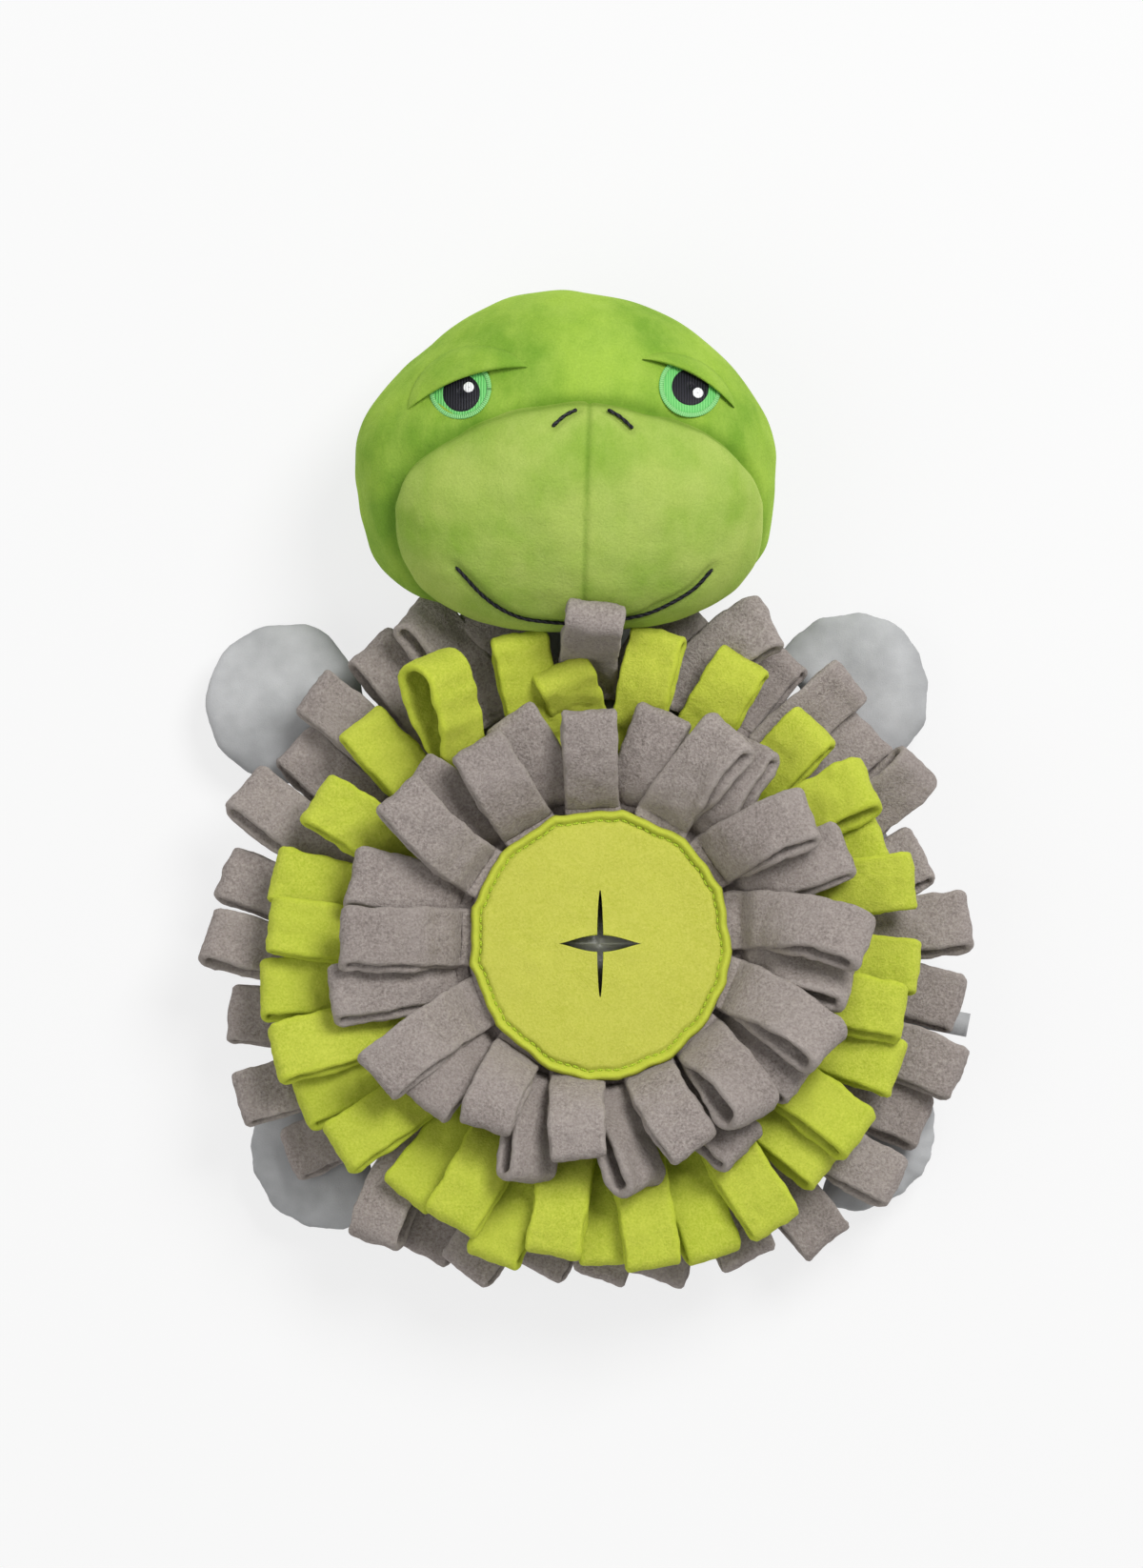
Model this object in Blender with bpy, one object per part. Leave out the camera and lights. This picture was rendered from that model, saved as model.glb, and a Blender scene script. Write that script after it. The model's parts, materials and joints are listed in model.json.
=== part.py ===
"""Plush turtle with a fringed fleece shell and a treat pocket, lying on its back.

Metres, +Z up. The toy's back rests on z = 0, its face and fringe look up, and its
head points to +Y. The origin is on the flat of the back, under the middle of the
round pocket cover. Left and right are -X and +X, as the picture of it shows them.
"""
import math

import bmesh
import bpy
from mathutils import Matrix, Vector

for leftover in list(bpy.data.objects):
    bpy.data.objects.remove(leftover, do_unlink=True)

# Clearances and cloths
GAP = 0.0003
CUT_OVERRUN = 0.004
CLOTH = 0.0014
FLEECE = 0.0021
FELT = 0.0028
PATCH = 0.0007
THREAD_RADIUS = 0.0006

# Round stuffed body
PILLOW_RADIUS = 0.094
PILLOW_FOOT_RADIUS = 0.076
PILLOW_SEAM_HEIGHT = 0.016
PILLOW_CROWN = 0.028
PILLOW_SIDES = 30
CROWN_FULLNESS_SHARE = 0.75
CROWN_RING_SHARES = (0.98, 0.9, 0.77, 0.58, 0.4)
BILGE_RING_SHARES = (0.3, 0.65)

# Treat pocket under the cover
POCKET_RADIUS = 0.0235
POCKET_FLOOR_HEIGHT = 0.018
POCKET_FLANGE_RADIUS = 0.0345
POCKET_SIDES = 20

# Fringe: three sewn bands, each with an upper and a lower row of loops
BAND_WIDTH = 0.005
UPPER_BAND_STEP = 0.0016
STITCHED_GAP = 0.0004
LOOP_GAP = 0.0012
BAND_GAP = 0.0006
LOOP_WIDTH = 0.017
LOOP_SWELL = 0.0011
INNER_BAND_RADIUS = 0.0434
MIDDLE_BAND_RADIUS = 0.064
OUTER_BAND_RADIUS = 0.080
FRINGE_END_RADIUS = 0.120
FRINGE_END_HEIGHT = 0.0205
INNER_REACH = 0.078
MIDDLE_REACH = 0.098
OUTER_REACH = 0.113

# Each loop: where it is sewn and where its tip lies, in degrees, and its reach
INNER_UPPER_SHARES = (
    (9.5, 1.0, 1.03), (36.5, 32.5, 0.96), (63.1, 58.5, 0.97), (93.2, 92.8, 0.9),
    (122.0, 121.8, 0.91), (148.7, 143.7, 0.98), (177.8, 177.9, 1.0), (206.2, 210.1, 1.01),
    (233.0, 237.0, 0.84), (260.5, 263.9, 0.83), (291.0, 294.9, 0.87), (316.0, 312.9, 0.9),
    (342.5, 336.0, 0.98))
INNER_LOWER_SHARES = (
    (22.0, 21.6, 1.02), (50.0, 52.5, 0.98), (77.0, 74.7, 0.93), (107.0, 111.0, 0.95),
    (135.0, 136.2, 1.02), (163.0, 164.0, 1.0), (191.0, 190.0, 1.06), (219.0, 222.0, 0.93),
    (247.0, 252.0, 0.96), (275.0, 279.2, 0.96), (301.0, 304.5, 0.98), (327.0, 326.0, 0.95),
    (354.0, 351.4, 0.98))
MIDDLE_UPPER_SHARES = (
    (12.0, 11.3, 0.97), (36.0, 32.5, 0.955), (60.0, 62.0, 0.975), (84.0, 79.5, 0.94),
    (108.0, 104.9, 0.955), (132.0, 135.0, 1.03), (156.0, 153.0, 0.98), (180.0, 176.5, 1.03),
    (204.0, 200.0, 1.06), (228.0, 230.5, 0.97), (252.0, 253.6, 1.035), (276.0, 278.4, 1.0),
    (300.0, 301.7, 1.03), (324.0, 324.1, 1.0), (348.0, 350.2, 0.945))
MIDDLE_LOWER_SHARES = (
    (0.0, 2.0, 0.94), (24.0, 22.0, 0.97), (48.0, 47.5, 0.9), (72.0, 71.0, 0.93),
    (96.0, 97.0, 0.87), (120.0, 119.5, 1.01), (144.0, 144.5, 0.99), (168.0, 167.0, 1.03),
    (192.0, 188.0, 1.055), (216.0, 214.0, 1.04), (240.0, 243.0, 0.97), (264.0, 264.8, 0.975),
    (288.0, 289.0, 1.03), (312.0, 313.0, 0.99), (336.0, 337.0, 1.0))
OUTER_UPPER_SHARES = (
    (3.0, 3.7, 0.993), (25.5, 29.0, 0.984), (48.0, 47.0, 0.98), (70.5, 70.5, 0.86),
    (93.0, 91.5, 0.815), (115.5, 115.0, 0.89), (138.0, 138.5, 1.03), (160.5, 156.5, 1.045),
    (183.0, 179.3, 1.056), (205.5, 203.5, 1.056), (228.0, 232.0, 1.01), (250.5, 247.5, 0.956),
    (273.0, 270.0, 0.9), (295.5, 295.5, 0.943), (318.0, 321.0, 1.03), (340.5, 340.0, 1.03))
OUTER_LOWER_SHARES = (
    (14.0, 15.5, 0.9), (37.0, 38.0, 0.93), (59.5, 58.0, 0.93), (82.0, 80.0, 0.81),
    (104.0, 102.5, 0.81), (127.0, 125.0, 0.99), (149.5, 147.0, 0.98), (172.0, 169.5, 1.03),
    (194.5, 191.0, 1.014), (217.0, 214.5, 1.014), (239.5, 240.0, 0.97), (262.0, 259.5, 0.9),
    (284.5, 280.0, 0.92), (307.0, 307.5, 1.016), (329.5, 331.0, 1.0), (352.0, 350.5, 0.985))

# Pocket cover: scalloped round of felt with a cross slit of four flaps
COVER_RADIUS = 0.0392
COVER_SCALLOPS = 13
COVER_SCALLOP_DEPTH = 0.0008
COVER_SCALLOP_SIDES = 4
COVER_LENGTH_SHARE = 1.035
COVER_ROLL_RISE = 0.0008
COVER_STITCH_INSET = 0.003
SLIT_HALF_WIDTH = 0.0126
SLIT_HALF_HEIGHT = 0.0164
SLIT_OPEN_WIDTH = 0.0018
SLIT_CURVE_SHARE = 0.3

# Head
HEAD_CENTRE_X = -0.010
HEAD_CENTRE_Y = 0.146
HEAD_HALF_WIDTH = 0.063
HEAD_TOP_LENGTH = 0.051
HEAD_CHIN_LENGTH = 0.048
HEAD_HALF_DEPTH = 0.040
HEAD_FLAT_DEPTH = 0.0005
HEAD_TOP_SQUARENESS_SHARE = 1.75
HEAD_CHIN_SQUARENESS_SHARE = 3.0
HEAD_FULLNESS_SHARE = 0.9
HEAD_SIDES = 28
HEAD_RING_SHARES = (-0.82, -0.5, -0.12, 0.2, 0.5, 0.74, 0.92)
HEAD_SEAM_SHARE = -0.06

# Muzzle
FACE_SHIFT = 0.0035
MUZZLE_CENTRE_Y = 0.1298
MUZZLE_HALF_WIDTH = 0.056
MUZZLE_HALF_LENGTH = 0.0345
MUZZLE_HALF_DEPTH = 0.027
MUZZLE_HEIGHT = 0.060
MUZZLE_SLOPE_SHARE = 0.22
MUZZLE_TOP_SQUARENESS_SHARE = 1.9
MUZZLE_CHIN_SQUARENESS_SHARE = 2.5
MUZZLE_FULLNESS_SHARE = 0.85
MUZZLE_SIDES = 24
MUZZLE_RING_SHARES = (-0.9, -0.6, -0.2, 0.2, 0.55, 0.82)

# Eyes and lids, given from the middle of the face
EYE_SPACING = 0.0349
EYE_CENTRE_Y = 0.1676
EYE_RIM_RADIUS = 0.0100
EYE_IRIS_RADIUS = 0.0086
EYE_PUPIL_RADIUS = 0.0058
EYE_GLINT_RADIUS = 0.0017
EYE_GLINT_SHIFT = 0.0026
EYE_SIDES = 20
GLINT_SIDES = 10
LID_CENTRE_Y = 0.1684
LID_HALF_LENGTH = 0.0175
LID_HALF_WIDTH = 0.0098
LID_PUFF = 0.0058
LID_TILT_DEGREES = 24.0
LID_SIDES = 18
LID_RING_SHARES = (-0.7, 0.0, 0.4, 0.75)

# Stitched nostrils and mouth, as shares of the muzzle's half width and half length
NOSTRIL_SHARES = ((0.14, 0.79), (0.22, 0.71), (0.29, 0.58))
MOUTH_SHARES = ((-0.81, -0.49), (-0.67, -0.74), (-0.46, -0.885), (-0.2, -0.955), (0.0, -0.968),
                (0.2, -0.955), (0.46, -0.885), (0.67, -0.74), (0.81, -0.49))
THREAD_SIDES = 5

# Neck
NECK_HALF_WIDTH = 0.023
NECK_HALF_DEPTH = 0.0103
NECK_HEIGHT = 0.0138
NECK_END_Y = 0.112
NECK_SIDES = 20

# Flippers: bearing in degrees and distance of the paddle's middle over the body's radius
FLIPPER_RADIUS = 0.0248
FLIPPER_ROOT_RADIUS = 0.012
FLIPPER_HALF_DEPTH = 0.0078
FLIPPER_HEIGHT = 0.0125
FLIPPER_SWING_DEGREES = 22.0
FLIPPER_CLOTH = 0.0010
FLIPPER_SIDES = 18
FLIPPER_RING_SHARES = (0.45, 0.78, 0.95)
FLIPPER_OPENING_HALF_DEPTH = 0.0025
FLIPPER_PLACE_SHARES = {
    "front_left": (142.8, 1.283),
    "front_right": (45.0, 1.145),
    "rear_left": (217.7, 1.1),
    "rear_right": (323.5, 1.027),
}

# Sewn side label, left blank
LABEL_BEARING_DEGREES = -11.0
LABEL_WIDTH = 0.0072
LABEL_LENGTH = 0.0205
LABEL_THICKNESS = 0.0006

BAND_HEIGHT = FLEECE + STITCHED_GAP + FLEECE


def material(name, colour, roughness):
    """One cloth or thread, by its colour and roughness."""
    cloth = bpy.data.materials.new(name)
    cloth.use_nodes = True
    shader = cloth.node_tree.nodes["Principled BSDF"]
    shader.inputs["Base Color"].default_value = (*colour, 1.0)
    shader.inputs["Roughness"].default_value = roughness
    shader.inputs["Metallic"].default_value = 0.0
    return cloth


CROWN_GREEN = material("crown_velboa", (0.20, 0.50, 0.05), 0.85)
MUZZLE_GREEN = material("muzzle_velboa", (0.33, 0.60, 0.10), 0.85)
GREY_FLEECE = material("grey_fleece", (0.33, 0.29, 0.28), 0.95)
LIME_FLEECE = material("lime_fleece", (0.54, 0.68, 0.05), 0.95)
COVER_FELT = material("cover_felt", (0.54, 0.70, 0.05), 0.95)
PALE_CLOTH = material("pale_cloth", (0.56, 0.58, 0.60), 0.8)
LINING = material("pocket_lining", (0.60, 0.60, 0.60), 0.85)
FILLING = material("filling", (0.90, 0.90, 0.88), 0.95)
BLACK_THREAD = material("black_thread", (0.01, 0.01, 0.012), 0.5)
MINT_THREAD = material("mint_thread", (0.30, 0.75, 0.25), 0.5)
IRIS_THREAD = material("iris_thread", (0.10, 0.45, 0.12), 0.5)
WHITE_THREAD = material("white_thread", (0.90, 0.90, 0.90), 0.5)
LIME_THREAD = material("lime_thread", (0.45, 0.65, 0.04), 0.6)


def finish(name, mesh, cloth):
    """Turns a bmesh into a named object with outward faces and smooth shading."""
    bmesh.ops.recalc_face_normals(mesh, faces=mesh.faces)
    data = bpy.data.meshes.new(name)
    mesh.to_mesh(data)
    mesh.free()
    data.shade_smooth()
    data.set_sharp_from_angle(angle=math.radians(50))
    data.materials.append(cloth)
    piece = bpy.data.objects.new(name, data)
    bpy.context.collection.objects.link(piece)
    return piece


def combine(piece, other, operation):
    """Cuts, joins or intersects a piece with another solid, which is used up."""
    change = piece.modifiers.new(operation, "BOOLEAN")
    change.operation = operation
    change.solver = "EXACT"
    change.object = other
    bpy.context.view_layer.update()
    depsgraph = bpy.context.evaluated_depsgraph_get()
    result = bpy.data.meshes.new_from_object(piece.evaluated_get(depsgraph))
    piece.modifiers.clear()
    used = piece.data
    piece.data = result
    bpy.data.meshes.remove(used)
    bpy.data.objects.remove(other, do_unlink=True)
    result.name = piece.name
    return piece


def cut(piece, other):
    return combine(piece, other, "DIFFERENCE")


def keep_inside(piece, other):
    return combine(piece, other, "INTERSECT")


def bridge(mesh, lower, upper):
    """Joins two rings of points with faces; a ring of one point is a pole."""
    count = max(len(lower), len(upper))
    for index in range(count):
        after = (index + 1) % count
        if len(lower) == 1:
            mesh.faces.new((lower[0], upper[index], upper[after]))
        elif len(upper) == 1:
            mesh.faces.new((lower[index], lower[after], upper[0]))
        else:
            mesh.faces.new((lower[index], lower[after], upper[after], upper[index]))


def stack_rings(name, rings, sides, cloth, middle=(0.0, 0.0), turn=0.0):
    """A closed solid through rings of (radius at an angle, height at an angle)."""
    mesh = bmesh.new()
    loops = []
    for radius_at, height_at in rings:
        loop = []
        for index in range(sides):
            angle = turn + math.tau * index / sides
            radius = radius_at(angle)
            x = middle[0] + radius * math.cos(angle)
            y = middle[1] + radius * math.sin(angle)
            loop.append(mesh.verts.new((x, y, height_at(angle))))
            if radius == 0.0:
                break
        loops.append(loop)
    pairs = list(zip(loops, loops[1:]))
    if len(loops[0]) > 1:
        pairs.append((loops[-1], loops[0]))
    for lower, upper in pairs:
        bridge(mesh, lower, upper)
    return finish(name, mesh, cloth)


def turned(name, profile, sides, cloth, middle=(0.0, 0.0)):
    """A solid turned about a vertical axis from its (radius, height) profile."""
    rings = [(lambda angle, r=r: r, lambda angle, z=z: z) for r, z in profile]
    return stack_rings(name, rings, sides, cloth, middle)


def prism(name, outline, bottom, top, cloth, upper=None):
    """A plan outline pulled up from one height to another, where it may end in another."""
    mesh = bmesh.new()
    low = [mesh.verts.new((x, y, bottom)) for x, y in outline]
    high = [mesh.verts.new((x, y, top)) for x, y in upper or outline]
    mesh.faces.new(low[::-1])
    mesh.faces.new(high)
    bridge(mesh, low, high)
    return finish(name, mesh, cloth)


def ellipse(middle, half_x, half_y, sides):
    """Points of an ellipse in plan."""
    angles = [math.tau * index / sides for index in range(sides)]
    return [(middle[0] + half_x * math.cos(a), middle[1] + half_y * math.sin(a)) for a in angles]


def tube_along_y(name, half_x, half_z, middle_x, middle_z, start_y, end_y, sides, cloth):
    """A straight elliptic solid that runs along Y."""
    mesh = bmesh.new()
    ends = []
    for y in (start_y, end_y):
        outline = ellipse((middle_x, middle_z), half_x, half_z, sides)
        ends.append([mesh.verts.new((x, y, z)) for x, z in outline])
    mesh.faces.new(ends[0])
    mesh.faces.new(ends[1][::-1])
    bridge(mesh, ends[0], ends[1])
    return finish(name, mesh, cloth)


def thread(name, points, cloth):
    """A stitched thread: a closed tube along points."""
    mesh = bmesh.new()
    rings = []
    for index, point in enumerate(points):
        before = points[max(index - 1, 0)]
        after = points[min(index + 1, len(points) - 1)]
        along = (after - before).normalized()
        across = along.cross(Vector((0, 0, 1))).normalized()
        lift = across.cross(along)
        ring = []
        for side in range(THREAD_SIDES):
            angle = math.tau * side / THREAD_SIDES
            offset = across * math.cos(angle) + lift * math.sin(angle)
            ring.append(mesh.verts.new(point + offset * THREAD_RADIUS))
        rings.append(ring)
    mesh.faces.new(rings[0])
    mesh.faces.new(rings[-1][::-1])
    for lower, upper in zip(rings, rings[1:]):
        bridge(mesh, lower, upper)
    return finish(name, mesh, cloth)


# Body

def crown_height(radius, inset=0.0):
    """Height of the body's front cloth, or of a layer that far under it."""
    rim = PILLOW_RADIUS - inset
    bulge = max(1.0 - (radius / rim) ** 2, 0.0) ** CROWN_FULLNESS_SHARE
    return PILLOW_SEAM_HEIGHT + (PILLOW_CROWN - inset) * bulge


def crown_profile(hole_radius, inset):
    """Front profile from the edge in to the hole in the middle."""
    rim = PILLOW_RADIUS - inset
    points = [(rim * share, crown_height(rim * share, inset)) for share in CROWN_RING_SHARES]
    return points + [(hole_radius, crown_height(hole_radius, inset))]


def bilge_profile(inset):
    """Back profile from the flat foot out to the side seam."""
    rim = PILLOW_RADIUS - inset
    points = [(PILLOW_FOOT_RADIUS - inset, inset)]
    for share in BILGE_RING_SHARES:
        swing = math.sin(share * math.pi / 2)
        drop = math.cos(share * math.pi / 2)
        radius = PILLOW_FOOT_RADIUS - inset + (rim - PILLOW_FOOT_RADIUS + inset) * swing
        points.append((radius, inset + (PILLOW_SEAM_HEIGHT - inset) * (1.0 - drop)))
    return points


def make_body():
    seam = PILLOW_SEAM_HEIGHT
    hole = POCKET_RADIUS + GAP
    shell = [(0.0, 0.0), *bilge_profile(0.0), (PILLOW_RADIUS, seam)]
    shell += [(PILLOW_RADIUS - CLOTH, seam), *reversed(bilge_profile(CLOTH)), (0.0, CLOTH)]
    turned("back_panel", shell, PILLOW_SIDES, PALE_CLOTH)

    edge = seam + GAP
    front = [(PILLOW_RADIUS, edge), *crown_profile(hole, 0.0)]
    front += [*reversed(crown_profile(hole, CLOTH)), (PILLOW_RADIUS - CLOTH, edge)]
    turned("front_panel", front, PILLOW_SIDES, PALE_CLOTH)

    under = CLOTH + GAP
    floor = POCKET_FLOOR_HEIGHT - GAP
    filling = [(0.0, under), *bilge_profile(under), (PILLOW_RADIUS - under, seam)]
    filling += [*crown_profile(hole, under), (hole, floor), (0.0, floor)]
    turned("body_filling", filling, PILLOW_SIDES, FILLING)


def make_pocket(flange_top):
    inside = POCKET_RADIUS - CLOTH
    floor = POCKET_FLOOR_HEIGHT
    flange = flange_top - CLOTH
    profile = [(0.0, floor), (POCKET_RADIUS, floor), (POCKET_RADIUS, flange)]
    profile += [(POCKET_FLANGE_RADIUS, flange), (POCKET_FLANGE_RADIUS, flange_top)]
    profile += [(inside, flange_top), (inside, floor + CLOTH), (0.0, floor + CLOTH)]
    turned("treat_pocket", profile, POCKET_SIDES, LINING)


# Fringe

def fringe_stack():
    """Middle and half thickness of each row where it is sewn and where it passes.

    A row is sewn at its own band, then passes over the back of each band outside it.
    The rows lie on each other with a gap at all these radii, so the straight runs
    between them can't cross.
    """
    swollen = BAND_HEIGHT / 2 + LOOP_SWELL
    half_swollen = BAND_HEIGHT / 2 + LOOP_SWELL / 2
    sewn = BAND_HEIGHT / 2
    bands = (INNER_BAND_RADIUS, MIDDLE_BAND_RADIUS, OUTER_BAND_RADIUS)
    stack = {}
    over_bands = 0.0
    for place, radius in enumerate((*bands, FRINGE_END_RADIUS)):
        top = FRINGE_END_HEIGHT
        if radius in bands:
            top = crown_height(radius - BAND_WIDTH)
        for ring in (2, 1, 0):
            if ring > place:
                continue
            own = ring == place
            if place == len(bands) and ring < 2:
                top = max(top, over_bands)
            half = (sewn, half_swollen, swollen, swollen)[place - ring]
            for row in ("lower", "upper"):
                space = LOOP_GAP
                if own:
                    space = GAP if row == "lower" else BAND_GAP
                middle = top + space + half
                station = radius
                if own and row == "upper":
                    station = radius - UPPER_BAND_STEP
                if not own and radius in bands:
                    station = radius - BAND_WIDTH - UPPER_BAND_STEP
                stack.setdefault((ring, row), []).append((station, middle, half))
                top = middle + half
            if own:
                over_bands = top
    return stack


def on_stack(stations, radius):
    """Middle height and half thickness of a row at a radius."""
    for (r0, m0, h0), (r1, m1, h1) in zip(stations, stations[1:]):
        if radius <= r1:
            share = (radius - r0) / (r1 - r0)
            return m0 + (m1 - m0) * share, h0 + (h1 - h0) * share
    return stations[-1][1:]


def leg_distances(root, along, tip_distance, stations, fold):
    """How far along a loop its sections lie: at the band radii, then at the fold."""
    distances = []
    for radius, middle, half in stations[1:]:
        lead = root.dot(along)
        reach = lead * lead - root.dot(root) + radius * radius
        distance = math.sqrt(max(reach, 0.0)) - lead
        if fold < distance < tip_distance - fold - GAP:
            distances.append(distance)
    return distances + [tip_distance - fold]


def fringe_row(name, stations, reach, places, cloth):
    """One sewn band with its folded loops, as a single solid."""
    band_radius, band_middle, band_half = stations[0]
    top = band_middle + band_half
    bottom = band_middle - band_half
    levels = (top, top - FLEECE, bottom + FLEECE, bottom)
    half_angle = math.asin(LOOP_WIDTH / 2 / band_radius)
    mesh = bmesh.new()

    def post(angle):
        ray = Vector((math.cos(angle), math.sin(angle)))
        wall = [mesh.verts.new((*(ray * band_radius), z)) for z in levels]
        back = [mesh.verts.new((*(ray * (band_radius - BAND_WIDTH)), z)) for z in (top, bottom)]
        return wall, back

    posts = []
    for root_degrees, tip_degrees, tip_share in places:
        angle = math.radians(root_degrees)
        posts.append(post(angle - half_angle))
        posts.append(post(angle + half_angle))

    for index, (wall, back) in enumerate(posts):
        next_wall, next_back = posts[(index + 1) % len(posts)]
        mesh.faces.new((wall[0], next_wall[0], next_back[0], back[0]))
        mesh.faces.new((wall[3], back[1], next_back[1], next_wall[3]))
        mesh.faces.new((back[0], next_back[0], next_back[1], back[1]))
        if index % 2:
            mesh.faces.new((*wall, *reversed(next_wall)))
        else:
            mesh.faces.new((wall[1], next_wall[1], next_wall[2], wall[2]))

    for index, (root_degrees, tip_degrees, tip_share) in enumerate(places):
        right, left = posts[2 * index][0], posts[2 * index + 1][0]
        chord = band_radius * math.cos(half_angle)
        angle = math.radians(root_degrees)
        root = Vector((math.cos(angle), math.sin(angle))) * chord
        angle = math.radians(tip_degrees)
        tip = Vector((math.cos(angle), math.sin(angle))) * reach * tip_share
        along = (tip - root).normalized()
        across = Vector((-along.y, along.x)) * LOOP_WIDTH / 2
        fold = on_stack(stations, tip.length)[1]
        tip_distance = (tip - root).length
        distances = leg_distances(root, along, tip_distance, stations, fold)

        def section(distance, outer_z, inner_z, outer_distance=None):
            here = root + along * distance
            beyond = root + along * (outer_distance or distance)
            return (mesh.verts.new((*(beyond - across), outer_z)),
                    mesh.verts.new((*(beyond + across), outer_z)),
                    mesh.verts.new((*(here + across), inner_z)),
                    mesh.verts.new((*(here - across), inner_z)))

        sections = [(right[0], left[0], left[1], right[1])]
        heights = []
        for distance in distances:
            heights.append(on_stack(stations, (root + along * distance).length))
        for distance, (middle, half) in zip(distances, heights):
            sections.append(section(distance, middle + half, middle + half - FLEECE))
        middle = heights[-1][0]
        sections.append(section(tip_distance - FLEECE, middle, middle, tip_distance))
        for distance, (middle, half) in zip(distances[::-1], heights[::-1]):
            sections.append(section(distance, middle - half, middle - half + FLEECE))
        sections.append((right[3], left[3], left[2], right[2]))
        for lower, upper in zip(sections, sections[1:]):
            bridge(mesh, lower, upper)
    return finish(name, mesh, cloth)


def make_fringe(stack):
    rings = (("inner", INNER_REACH, GREY_FLEECE, INNER_LOWER_SHARES, INNER_UPPER_SHARES),
             ("middle", MIDDLE_REACH, LIME_FLEECE, MIDDLE_LOWER_SHARES, MIDDLE_UPPER_SHARES),
             ("outer", OUTER_REACH, GREY_FLEECE, OUTER_LOWER_SHARES, OUTER_UPPER_SHARES))
    for ring, (title, reach, cloth, lower, upper) in enumerate(rings):
        fringe_row("fringe_" + title + "_lower", stack[ring, "lower"], reach, lower, cloth)
        fringe_row("fringe_" + title + "_upper", stack[ring, "upper"], reach, upper, cloth)


# Pocket cover

def cover_rim(inset):
    """Scalloped outline of the cover, that far in from its edge."""
    def radius_at(angle):
        wave = math.cos(COVER_SCALLOPS * angle) * COVER_SCALLOP_DEPTH
        stretch = math.hypot(math.cos(angle), math.sin(angle) * COVER_LENGTH_SHARE)
        return (COVER_RADIUS - inset) * stretch + wave
    return radius_at


def level(height):
    return lambda angle: height


def make_cover(bottom):
    top = bottom + FELT
    roll = top + COVER_ROLL_RISE
    sides = COVER_SCALLOPS * COVER_SCALLOP_SIDES
    channel = COVER_STITCH_INSET
    rim = [(level(0.0), level(bottom)), (cover_rim(0.0), level(bottom))]
    rim += [(cover_rim(0.0), level(top)), (cover_rim(COVER_ROLL_RISE), level(roll))]
    rim += [(cover_rim(channel - 2 * THREAD_RADIUS), level(roll))]
    rim += [(cover_rim(channel - THREAD_RADIUS - GAP), level(top)), (level(0.0), level(top))]
    cover = stack_rings("pocket_cover", rim, sides, COVER_FELT)
    corners = ((SLIT_HALF_WIDTH, 0.0), (0.0, SLIT_HALF_HEIGHT))
    corners += ((-SLIT_HALF_WIDTH, 0.0), (0.0, -SLIT_HALF_HEIGHT))
    cut(cover, prism("slit_cutter", corners, bottom - CUT_OVERRUN, roll + CUT_OVERRUN, COVER_FELT))

    low = top + GAP
    high = low + 2 * THREAD_RADIUS
    outside = channel
    inside = channel + 2 * THREAD_RADIUS
    stitch = [(cover_rim(outside), level(low)), (cover_rim(outside), level(high))]
    stitch += [(cover_rim(inside), level(high)), (cover_rim(inside), level(low))]
    stack_rings("cover_stitching", stitch, sides, LIME_THREAD)


def flap_corners(outward):
    """Lower corners of a flap: its base, then the slit's edges and the tip between them."""
    wide = Vector((SLIT_HALF_WIDTH, 0.0))
    tall = Vector((0.0, SLIT_HALF_HEIGHT))
    half = SLIT_OPEN_WIDTH * SLIT_CURVE_SHARE
    inset = outward * GAP
    slip = (wide - tall).normalized() * (2 * GAP)
    return [wide - inset - slip, tall - inset + slip, Vector((half, SLIT_HALF_HEIGHT / 2)),
            Vector((SLIT_OPEN_WIDTH, SLIT_OPEN_WIDTH)), Vector((SLIT_HALF_WIDTH / 2, half))]


def cut_back(corner, base, outward):
    """An upper corner, cut back so that it stays on its own side of the slit.

    The felt turns about its lower edge, so its upper face comes forward as it goes down.
    """
    distance = (base - corner).dot(outward)
    room = outward * (math.hypot(FELT, distance) - distance + GAP)
    if distance < GAP:
        along = Vector((-outward.y, outward.x))
        return corner + along * (room.y / along.y if corner.x > corner.y else room.x / along.x)
    return Vector((max(corner.x, room.x), max(corner.y, room.y)))


def make_flaps(bottom):
    """Four corner flaps of the cross slit, each turning down about its base."""
    outward = Vector((SLIT_HALF_HEIGHT, SLIT_HALF_WIDTH)).normalized()
    corners = flap_corners(outward)
    backs = [cut_back(corner, corners[0], outward) for corner in corners]
    for name, side_x, side_y in (("front_left", -1, 1), ("front_right", 1, 1),
                                 ("rear_left", -1, -1), ("rear_right", 1, -1)):
        outline = [(x * side_x, y * side_y) for x, y in corners]
        upper = [(x * side_x, y * side_y) for x, y in backs]
        flap = prism("slit_flap_" + name, outline, bottom, bottom + FELT, COVER_FELT, upper)
        hinge = Vector((outline[0][0] + outline[1][0], outline[0][1] + outline[1][1])) / 2
        move_origin(flap, Vector((*hinge, bottom)))


def move_origin(piece, point):
    """Puts a moving piece's origin on its axis and leaves its shape in place."""
    piece.data.transform(Matrix.Translation(-point))
    piece.location = point


# Head

def squared(half_x, half_top, half_chin, top_share, chin_share):
    """Outline of a rounded form, squarer at the chin than at the top."""
    def radius_at(angle):
        power = top_share if math.sin(angle) >= 0.0 else chin_share
        half_y = half_top if math.sin(angle) >= 0.0 else half_chin
        x = abs(math.cos(angle)) / half_x
        y = abs(math.sin(angle)) / half_y
        return 1.0 / (x ** power + y ** power) ** (1.0 / power)
    return radius_at


def head_outline(grow):
    return squared(HEAD_HALF_WIDTH + grow, HEAD_TOP_LENGTH + grow, HEAD_CHIN_LENGTH + grow,
                   HEAD_TOP_SQUARENESS_SHARE, HEAD_CHIN_SQUARENESS_SHARE)


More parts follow.
